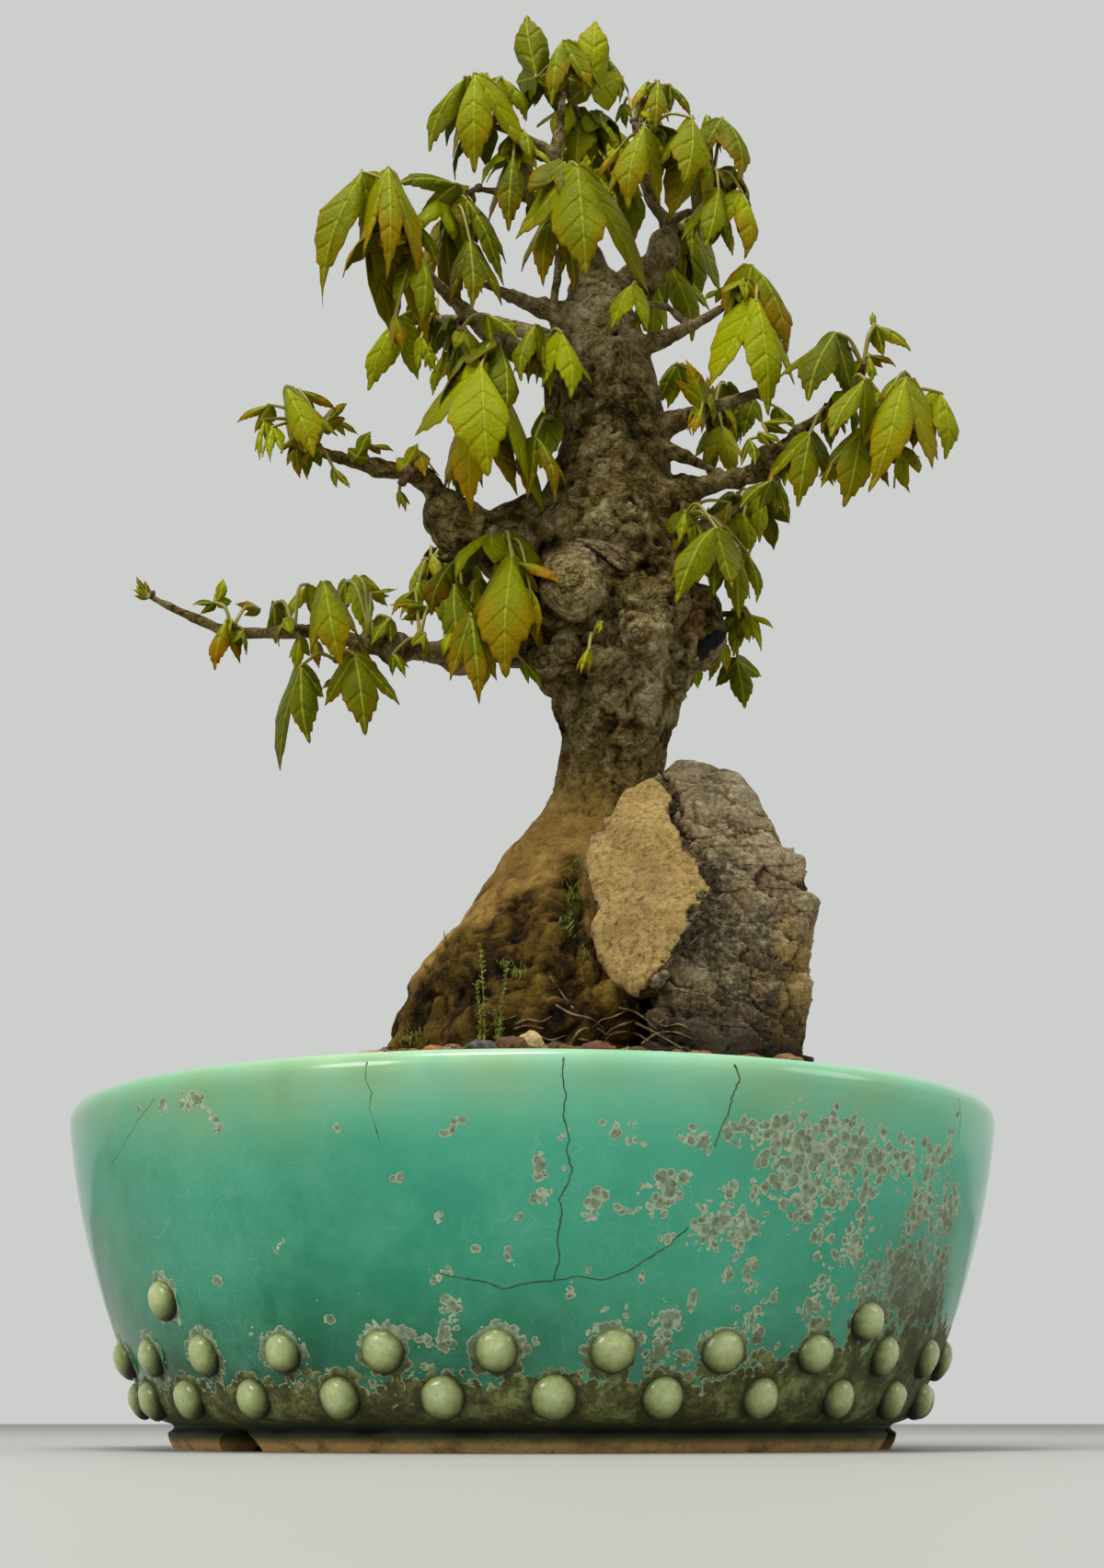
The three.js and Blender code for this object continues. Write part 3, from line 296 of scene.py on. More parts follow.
# Mineral crust on the glaze: px, py, size in pixels, strength
CRUST = [
    (800, 1228, 10, 0.8), (818, 1230, 10.5, 0.8), (834, 1257, 9, 0.75), (846, 1228, 10.5, 0.8),
    (868, 1240, 19, 0.82), (895, 1250, 22, 0.85), (925, 1255, 22, 0.85), (955, 1262, 18, 0.85),
    (985, 1262, 15.5, 0.8), (1010, 1262, 17, 0.8), (1030, 1246, 14, 0.75), (860, 1275, 18, 0.8),
    (880, 1296, 15, 0.78), (912, 1290, 19, 0.8), (942, 1290, 14, 0.75), (845, 1305, 8.5, 0.75),
    (828, 1298, 11, 0.72), (872, 1318, 11, 0.7), (797, 1290, 9, 0.72), (770, 1306, 9, 0.72),
    (783, 1325, 13, 0.78), (805, 1335, 15, 0.8), (765, 1340, 10.5, 0.76), (803, 1352, 8.5, 0.74),
    (822, 1338, 7.5, 0.7), (896, 1345, 13, 0.74), (928, 1350, 15, 0.74), (935, 1325, 11, 0.68),
    (1005, 1310, 19, 0.8), (1030, 1318, 19, 0.78), (990, 1330, 13, 0.74), (905, 1380, 7, 0.8),
    (985, 1392, 29, 1), (1010, 1405, 26, 1), (950, 1390, 15, 0.8), (930, 1400, 9, 0.7), (892, 1402, 12, 0.76),
    (884, 1420, 12, 0.74), (890, 1442, 12, 0.74), (907, 1412, 5.5, 0.7), (820, 1372, 7.5, 0.85),
    (790, 1384, 7, 0.85), (812, 1388, 6.5, 0.82), (818, 1402, 6.5, 0.8), (842, 1407, 6, 0.8),
    (730, 1435, 11, 0.85), (751, 1415, 6, 0.85), (755, 1399, 4, 0.8), (803, 1421, 6.5, 0.82),
    (820, 1424, 8.5, 0.82), (815, 1440, 8.5, 0.8), (826, 1456, 9, 0.8), (842, 1462, 7.5, 0.78),
    (722, 1289, 11.5, 0.84), (715, 1300, 11, 0.8), (742, 1281, 7, 0.8), (668, 1228, 7, 0.8),
    (686, 1232, 7.5, 0.8), (694, 1245, 7, 0.76), (748, 1236, 8.5, 0.8), (762, 1240, 9, 0.8),
    (770, 1252, 6, 0.76), (651, 1302, 8.5, 0.82), (642, 1318, 7, 0.8), (678, 1316, 7.5, 0.8),
    (722, 1348, 8, 0.82), (757, 1358, 5.5, 0.76), (655, 1222, 5, 0.76), (700, 1388, 5, 0.7),
    (680, 1425, 6, 0.75), (655, 1425, 5.5, 0.75), (619, 1405, 8, 0.85), (613, 1231, 6.5, 0.85),
    (613, 1272, 4, 0.8), (584, 1262, 7, 0.85), (586, 1277, 6.5, 0.84), (590, 1299, 8, 0.82),
    (497, 1218, 5.5, 0.85), (486, 1233, 5.5, 0.82), (545, 1227, 4, 0.75), (432, 1280, 5, 0.82),
    (366, 1227, 5, 0.72), (385, 1236, 4.5, 0.7), (205, 1197, 9.5, 0.8), (218, 1196, 8, 0.8),
    (178, 1202, 7.5, 0.78), (150, 1207, 4.5, 0.7), (232, 1213, 6, 0.8), (239, 1228, 6.5, 0.8),
    (159, 1284, 4.5, 0.72), (301, 1351, 6.5, 0.85), (478, 1323, 4, 0.78), (516, 1358, 5, 0.7),
    (549, 1360, 4, 0.7), (555, 1327, 4, 0.75), (556, 1372, 4, 0.72), (478, 1384, 8.5, 0.9),
    (490, 1419, 8, 0.88), (357, 1436, 6, 0.82), (236, 1391, 6, 0.82), (445, 1447, 7.5, 0.8),
    (462, 1455, 7.5, 0.8), (478, 1456, 7.5, 0.8), (490, 1445, 9, 0.8), (488, 1462, 6, 0.76),
    (272, 1447, 5.5, 0.7), (582, 1456, 5.5, 0.75), (716, 1470, 14, 0.8), (722, 1490, 15, 0.8),
    (744, 1470, 9.5, 0.74), (830, 1482, 15, 0.8), (834, 1500, 14, 0.8), (640, 1380, 3.5, 0.65),
    (1040, 1210, 5.5, 0.5), (962, 1335, 6, 0.6), (566, 1320, 3, 0.6),
]
# Yellow-green stains in the glaze below the lip: px, py, size in pixels, strength
STAINS = [
    (400, 1160, 26, 0.6), (408, 1196, 12, 0.35), (215, 1192, 46, 0.55), (160, 1190, 34, 0.45),
    (300, 1178, 50, 0.4), (540, 1160, 30, 0.35), (845, 1178, 50, 0.4), (950, 1190, 40, 0.3),
    (660, 1162, 24, 0.25), (120, 1205, 20, 0.3),
]
# Cracks in the glaze: px, py
CRACKS = [
    [(613, 1149), (611, 1168), (615, 1190), (612, 1212), (619, 1236), (616, 1252), (622, 1272), (616, 1288),
     (608, 1302), (611, 1320), (606, 1342), (608, 1366), (602, 1390)],
    [(478, 1384), (502, 1389), (528, 1393), (548, 1401), (572, 1394), (602, 1392), (628, 1387), (655, 1391),
     (684, 1381), (706, 1366), (728, 1352), (748, 1334)],
    [(799, 1157), (804, 1172), (797, 1190), (792, 1208), (783, 1228), (777, 1246)],
]
FAINT_CRACKS = [
    [(168, 1194), (150, 1218), (136, 1240), (122, 1264)],
    [(1042, 1194), (1044, 1216), (1041, 1240)],
    [(399, 1154), (397, 1172), (404, 1188), (401, 1205), (408, 1222), (412, 1240)],
]

# Bark marks in the front view: px, py, radius in pixels, height in mm, dark, pale, rust. The dark ones lie in
# hollows, and their dark is partly painted shade
BARK_MARKS = [
    (654, 508, 9, 0.8, 0, 0.75, 0), (674, 504, 6, 0.5, 0, 0.35, 0), (636, 538, 10, -2.2, 0.8, 0, 0.2),
    (684, 550, 9, -1.6, 0.9, 0, 0), (644, 401, 7, -1.8, 0.9, 0, 0), (660, 576, 7, 0.5, 0, 0.45, 0),
    (687, 579, 11, 0.5, 0, 0.3, 0), (630, 593, 9, 0.3, 0, 0.5, 0), (645, 597, 7, 0.5, 0, 0.8, 0.1),
    (656, 602, 7, 0.5, 0, 0.85, 0.2), (667, 607, 7, 0.5, 0, 0.85, 0.2), (678, 614, 6, 0.4, 0, 0.7, 0.2),
    (642, 604, 5, -0.6, 1, 0, 0), (650, 610, 5, -0.6, 1, 0, 0), (660, 616, 5, -0.6, 1, 0, 0),
    (681, 600, 6, -0.7, 0.9, 0, 0), (613, 704, 11, 0.4, 0, 0.35, 0), (582, 716, 9, -0.5, 0.6, 0, 0.2),
    (752, 678, 9, 0, 0, 0.2, 0.8), (756, 664, 8, 0, 0, 0.2, 0.7), (748, 692, 6, 0, 0, 0, 0.6),
    (783, 686, 7, -0.3, 0.4, 0, 0), (772, 703, 9, -0.3, 0.4, 0, 0), (745, 712, 5, -0.6, 0.7, 0, 0),
    (707, 762, 11, 0.1, 0, 0.7, 0), (700, 775, 9, 0.1, 0, 0.5, 0), (716, 752, 7, 0.1, 0, 0.5, 0),
    (679, 777, 6, 0.3, 0, 0.8, 0.1), (643, 801, 5, -0.6, 0.8, 0, 0), (656, 822, 4, -0.6, 0.7, 0, 0),
    (611, 829, 9, 0, 0, 0, 0.5), (670, 362, 5, -1.2, 1, 0, 0), (672, 374, 5, -1.3, 1, 0, 0),
    (672, 386, 5, -1.3, 1, 0, 0), (670, 397, 4, -1.1, 1, 0, 0), (640, 405, 11, -0.5, 0.35, 0, 0),
    (618, 345, 12, 0.2, 0, 0.55, 0), (640, 340, 14, 0.2, 0, 0.6, 0), (632, 368, 14, 0.2, 0, 0.5, 0),
    (650, 380, 9, 0.2, 0, 0.4, 0), (655, 330, 9, 0.2, 0, 0.5, 0), (640, 455, 13, -0.5, 0.45, 0, 0),
    (660, 445, 11, -0.4, 0.35, 0, 0), (690, 470, 12, -0.2, 0.25, 0, 0), (829, 425, 6, 0, 0, 0.8, 0),
    (781, 513, 7, 0, 0, 0.6, 0.1), (736, 548, 6, 0.3, 0, 0.5, 0.2), (668, 668, 9, -0.5, 0.6, 0, 0),
    (640, 690, 10, -0.4, 0.4, 0, 0), (700, 590, 11, -0.3, 0.45, 0, 0), (718, 585, 8, -0.4, 0.6, 0, 0),
    (605, 592, 10, -0.3, 0.4, 0, 0), (735, 725, 9, -0.3, 0.4, 0, 0),
]
# Knobs that the collision shape lacks, in the same form as the burls
KNOBS = [
    (619, 652, -17, 10.5, 1, 0.85, 0.95), (702, 688, -20, 6.2, 1, 0.9, 1), (722, 662, -17, 6.5, 1, 0.9, 1),
    (610, 712, -15, 5.6, 1, 0.9, 1), (592, 650, -8, 7, 1, 1, 1.1), (690, 556, -13, 6, 1, 0.8, 0.9),
    (652, 548, -15, 4.6, 1.2, 0.7, 0.8), (622, 566, -13, 6.5, 1.1, 0.7, 0.8),
    (702, 486, -9, 5, 0.8, 0.8, 1.3), (630, 480, -9, 5, 0.8, 0.8, 1.5), (640, 398, -8, 4.6, 0.8, 0.7, 1.4),
    (698, 428, -5, 5, 0.8, 0.8, 1.5), (658, 612, -19, 4.5, 2.2, 0.6, 0.7), (742, 702, -8, 6.5, 0.8, 0.8, 1.2),
    (604, 742, -8, 4.5, 1, 1, 0.9), (722, 752, -6, 4.4, 0.9, 0.8, 1), (686, 632, -19, 5, 1.2, 0.6, 0.8),
    (655, 720, -17, 6, 1.2, 0.5, 0.8), (680, 790, -12, 6, 1, 0.5, 1), (735, 620, -8, 6, 0.8, 0.9, 1.2),
    (588, 600, -9, 6, 1, 0.8, 0.9), (668, 520, -13, 5, 1, 0.6, 0.8), (715, 545, -9, 5, 0.8, 0.8, 1.2),
    (520, 578, -14, 6.4, 1, 1, 0.9), (484, 560, -15, 5.8, 1, 1, 1.2), (474, 1102, -14, 8.6, 1, 1, 1.1),
    (456, 1124, -10, 7, 1, 1, 1), (498, 1070, -12, 7, 1, 1, 1), (560, 1100, -34, 8, 1.1, 0.8, 1),
    (610, 1115, -42, 7, 1.3, 0.7, 1), (520, 1120, -34, 7, 1, 1, 1), (660, 1100, -38, 6.5, 1.2, 0.7, 1),
    (590, 980, -13, 6, 1, 0.6, 1.6), (640, 240, -10, 3.6, 1, 1, 1), (700, 300, 0, 5.2, 1, 1, 1),
    (838, 503, -26, 5, 1, 1, 1), (560, 700, -7, 7, 1, 0.9, 0.9), (430, 705, -11, 4.6, 1, 1, 1),
    (500, 710, -9, 5.6, 1, 1, 1),
]
# Smooth ringed burls: px, py, half width and half height in pixels, strength
RINGED_BURLS = [
    (624, 632, 41, 45, 0.8), (720, 662, 14, 14, 0.9), (693, 686, 13, 13, 0.9), (654, 508, 12, 12, 0.4),
    (636, 536, 17, 16, 0.6), (684, 550, 15, 17, 0.6), (660, 576, 10, 10, 0.6), (687, 579, 15, 12, 0.6),
    (613, 704, 19, 19, 0.7), (738, 739, 14, 14, 0.7), (643, 801, 12, 10, 0.5), (640, 405, 15, 15, 0.5),
    (556, 590, 30, 26, 0.6), (704, 640, 30, 24, 0.6), (592, 718, 22, 20, 0.6),
]
# Healed knots and broken stubs: px, py, half width and half height in pixels, turn in degrees, shape
KNOTS = [
    (654, 508, 10, 10, 0, "scar"), (636, 538, 20, 18, 30, "hole"), (684, 550, 12, 15, -10, "eye"),
    (660, 575, 8, 8, 0, "scar"), (644, 401, 10, 11, 0, "hole"), (714, 662, 15, 14, 0, "rings"),
    (692, 687, 9, 9, 0, "scar"), (738, 739, 13, 12, 20, "rings"), (614, 705, 13, 12, 0, "bump"),
    (687, 579, 13, 10, 0, "bump"), (643, 801, 9, 8, 0, "hole"), (757, 676, 11, 16, -20, "torn"),
    (829, 425, 6, 6, 0, "eye"), (781, 513, 8, 7, 0, "scar"), (590, 716, 13, 11, 0, "hole"),
    (670, 385, 6, 20, 4, "hole"), (768, 702, 10, 27, -38, "seal"), (600, 560, 9, 8, 0, "rings"),
]
# Each shape from below its rim to its middle: part of the radius, height in mm, dark, pale, rust, black. Dark
# lies in holes and grooves, partly as painted shade
KNOT_SHAPES = {
    "scar": [(0.95, -0.3, 0.3, 0, 0, 0), (0.86, 0.5, 0, 0.15, 0, 0), (0.7, 0.65, 0, 0.3, 0, 0),
             (0.56, 0.35, 0.5, 0, 0, 0), (0.46, 0.6, 0, 0.6, 0, 0), (0.22, 0.75, 0, 0.7, 0, 0)],
    "hole": [(0.97, -0.2, 0.2, 0, 0.1, 0), (0.88, 0.6, 0, 0, 0.25, 0), (0.72, 0.9, 0, 0.1, 0.2, 0),
             (0.6, 0.6, 0, 0.45, 0.2, 0), (0.48, -0.3, 0.3, 0.4, 0.1, 0), (0.34, -0.9, 1, 0, 0, 0),
             (0.15, -1.1, 1, 0, 0, 0)],
    "eye": [(0.97, -0.2, 0.2, 0, 0, 0), (0.86, 0.6, 0.1, 0, 0, 0), (0.7, 0.6, 0.4, 0, 0, 0),
            (0.56, -0.3, 1, 0, 0, 0), (0.42, -0.5, 1, 0, 0, 0), (0.34, 0.2, 0, 0.9, 0, 0),
            (0.15, 0.5, 0, 1, 0, 0)],
    "rings": [(0.97, -0.3, 0.3, 0, 0, 0), (0.9, 0.5, 0, 0.35, 0, 0), (0.79, 0.2, 0.5, 0, 0, 0),
              (0.67, 0.8, 0, 0.45, 0, 0), (0.55, 0.5, 0.4, 0, 0, 0), (0.43, 1.0, 0, 0.55, 0, 0),
              (0.31, 0.65, 0.5, 0, 0, 0), (0.16, 1.05, 0, 0.6, 0, 0)],
    "bump": [(0.95, -0.2, 0.4, 0, 0, 0), (0.85, 0.5, 0.1, 0, 0, 0), (0.6, 1.1, 0, 0.1, 0, 0),
             (0.3, 1.4, 0, 0.25, 0, 0)],
    "torn": [(0.95, -0.2, 0.3, 0, 0.3, 0), (0.85, 0.5, 0, 0.2, 0.5, 0), (0.6, 0.4, 0.1, 0.1, 0.6, 0),
             (0.4, 0.1, 0.6, 0, 0.4, 0), (0.2, 0.4, 0, 0.2, 0.6, 0)],
    "seal": [(0.97, -0.3, 0, 0, 0, 1), (0.9, 0.25, 0, 0, 0, 1), (0.6, 0.5, 0, 0, 0, 1),
             (0.3, 0.6, 0, 0, 0, 1)],
}
# Where the bark is felt round the middle of a knot, in parts of its size
FEELERS = [(0, 0), (1, 0), (-1, 0), (0, 1), (0, -1), (0.7, 0.7), (-0.7, 0.7), (0.7, -0.7), (-0.7, -0.7)]
# Splinters of torn wood above the large burl, and a dark strand below them that is painted shade in their
# gap: line, width in mm, paleness
SPLINTERS = [
    ([(626, 587), (642, 590), (660, 598), (681, 613)], 1.0, 0.85),
    ([(640, 586), (657, 591), (672, 600), (683, 609)], 0.8, 0.7),
    ([(652, 603), (665, 610), (678, 619)], 0.8, 0.8),
    ([(636, 594), (650, 603), (664, 612), (677, 622)], 0.7, 0),
]
# Dirt baked on the lower right of the glaze, in the same form as the stains
DIRT = [
    (985, 1390, 50, 0.7), (1010, 1420, 44, 0.85), (1000, 1450, 50, 0.85), (975, 1480, 44, 0.6),
    (950, 1385, 24, 0.4), (1030, 1340, 30, 0.35), (940, 1500, 34, 0.4), (880, 1520, 26, 0.3),
    (140, 1500, 34, 0.4), (1020, 1380, 30, 0.6),
]
# The root flare is dark and damp below this line, and the rock is sandy inside this outline: px, py
WET_LINE = [
    (400, 1140), (440, 1072), (470, 1050), (500, 1015), (530, 1000), (560, 962), (600, 955), (622, 925),
    (640, 1010), (720, 1020),
]
TAN_FACE = [
    (712, 840), (675, 860), (639, 919), (630, 946), (650, 986), (650, 1012), (640, 1035), (662, 1068),
    (690, 1086), (718, 1058), (742, 1012), (751, 980), (773, 966), (758, 936), (740, 913), (726, 863),
]

# Millimetres to a pixel at the knots and at the burls' rings
TRUNK_PIXEL, RING_PIXEL = 0.24, 0.234
# Limbs of the tree: px, py, depth, radius in mm
TRUNK = [
    (612, 1180, 6, 25), (612, 1075, 6, 25.5), (612, 1000, 6, 22), (638, 930, 5, 16.5), (655, 880, 4, 13.3),
    (662, 830, 3, 13.4), (668, 790, 2, 15.3), (670, 740, 2, 17.5), (680, 690, 2, 19.5), (672, 640, 1, 20.5),
    (655, 590, 0, 20), (662, 540, 0, 17), (668, 480, 0, 14.3), (662, 420, 0, 12.8), (655, 370, 0, 11),
    (648, 330, -1, 8.4), (655, 298, -2, 5.5),
]

ROOTS = {
    "left": [(622, 915, 2, 9), (603, 940, 1, 11), (574, 988, -2, 12.5), (548, 1036, -6, 13.5),
             (500, 1095, -12, 13.5), (452, 1160, -18, 7)],
    "frontLeft": [(622, 935, -2, 10), (592, 985, -6, 13), (564, 1030, -12, 15), (530, 1090, -20, 15),
                  (500, 1172, -32, 8)],
    "front": [(622, 945, -4, 12), (600, 1030, -14, 16), (588, 1100, -26, 13.5), (575, 1180, -38, 7)],
    "between": [(640, 955, -2, 11), (645, 1040, -10, 12), (655, 1105, -22, 10.5), (668, 1180, -36, 6)],
    "backLeft": [(614, 950, 10, 11), (588, 1000, 18, 13), (545, 1056, 26, 13), (480, 1165, 42, 6)],
    "backRight": [(650, 965, 12, 12), (722, 1050, 28, 11.5), (780, 1172, 44, 5)],
    "back": [(626, 960, 14, 12), (622, 1060, 36, 12.5), (630, 1186, 58, 6)],
}

BRANCHES = {
    "lowLeft": [(610, 700, -2, 8.5), (560, 702, -6, 6.6), (500, 710, -9, 5), (440, 705, -11, 4),
                (400, 700, -12, 3.4), (340, 686, -12, 2.7), (260, 688, -10, 2.2), (215, 673, -9, 1.8),
                (176, 655, -8, 1.4), (163, 648, -8, 1.1)],
    "midLeft": [(590, 560, -6, 9), (550, 572, -10, 6.5), (506, 577, -13, 5.6), (484, 552, -15, 4.4),
                (460, 520, -17, 4), (410, 508, -19, 3.5), (370, 498, -20, 2.5), (344, 489, -21, 1.6)],
    "highLeft": [(618, 400, -4, 6.5), (575, 388, -8, 5.4), (540, 368, -12, 4.2), (505, 338, -17, 3),
                 (478, 311, -22, 2.2), (460, 292, -27, 1.6)],
    "stubLeft": [(640, 345, -2, 5), (590, 335, -7, 3.6), (556, 322, -10, 2.6), (527, 309, -13, 1.2)],
    "leader": [(650, 300, -1, 4.6), (628, 250, -4, 3.4), (612, 205, -6, 2.8), (600, 168, -8, 2.4),
               (570, 150, -10, 2), (535, 136, -12, 1.3)],
    "crownTwig": [(602, 170, -8, 2), (609, 135, -7, 1.7), (612, 86, -5, 0.9)],
    "leftLeader": [(622, 372, -4, 3.4), (602, 345, -8, 2.2), (606, 300, -9, 1.7), (612, 250, -8, 1.5),
                   (612, 205, -6, 1.3)],
    "leaderLeft": [(628, 250, -4, 2.4), (600, 228, -10, 2), (560, 212, -14, 1.7), (524, 206, -16, 1)],
    "rightLeader": [(660, 320, -1, 5.4), (690, 300, 0, 4.6), (718, 275, 2, 3.8), (726, 246, 2, 3.2),
                    (708, 218, -2, 2.4), (697, 180, -6, 1.8), (690, 140, -8, 1)],
    "rightTwig": [(724, 244, 2, 2.2), (745, 232, 0, 1.8), (764, 227, -4, 1.3), (774, 200, -9, 0.9)],
    "midRight": [(690, 378, -4, 4), (722, 368, -8, 3), (752, 354, -12, 2.4), (787, 334, -15, 1.2)],
    "midRightSpur": [(752, 354, -12, 1.7), (738, 345, -8, 1.5), (724, 332, -4, 1.1)],
    "cutBranch": [(720, 465, -4, 4.2), (752, 452, -9, 3.2), (790, 438, -14, 2.4), (830, 425, -18, 2)],
    "deadStub": [(712, 484, -6, 3.6), (745, 497, -9, 2.4), (781, 513, -11, 0.8)],
    "lowRight": [(706, 545, -4, 6.5), (750, 532, -10, 4.6), (800, 520, -18, 3.8), (838, 506, -25, 4),
                 (868, 470, -29, 2.8), (903, 446, -33, 1.6)],
    "lowRightFork": [(842, 508, -26, 3), (880, 501, -30, 2.2), (930, 500, -35, 1.7), (972, 500, -38, 1)],
    "backRight": [(672, 470, 6, 6), (705, 458, 22, 4.2), (742, 452, 34, 3), (775, 446, 42, 1.6)],
    "backRightLow": [(684, 640, 12, 6.5), (725, 600, 26, 4.4), (770, 570, 38, 3), (815, 545, 46, 1.6)],
    "backLeft": [(655, 400, 6, 5.6), (600, 370, 22, 4), (540, 352, 34, 3), (476, 346, 42, 1.5)],
    "backLeftLow": [(650, 600, 12, 6.5), (590, 600, 28, 4.4), (530, 600, 40, 3), (470, 610, 50, 1.5)],
    "backHigh": [(654, 330, 4, 4.4), (640, 280, 20, 3.2), (636, 235, 32, 2.2), (640, 195, 40, 1.2)],
    "backMiddle": [(664, 520, 10, 5.6), (660, 500, 30, 4), (650, 470, 46, 2.8), (640, 440, 58, 1.4)],
}

# Burls: px, py, depth, radius in mm, stretch along X, Y and Z
BURLS = [
    (626, 643, -13, 11.5, 1, 0.75, 0.95), (708, 666, -15, 9.5, 1, 0.7, 0.95),
    (762, 682, -2, 10, 0.62, 1, 1.2), (596, 714, -10, 6, 1, 1, 1), (556, 592, -4, 10, 1, 1, 1.1),
    (742, 545, -2, 6, 0.8, 1, 1.3), (640, 452, -9, 7, 1, 0.7, 1.3), (500, 573, -13, 8, 1, 1, 0.95),
    (640, 805, -8, 6, 0.9, 0.8, 1.2), (732, 742, -2, 5, 0.8, 1, 1.1), (722, 272, 0, 5, 0.9, 1, 1.3),
    (700, 620, 14, 12, 1, 1, 1.2), (640, 700, 14, 10, 1, 1, 1.2),
]
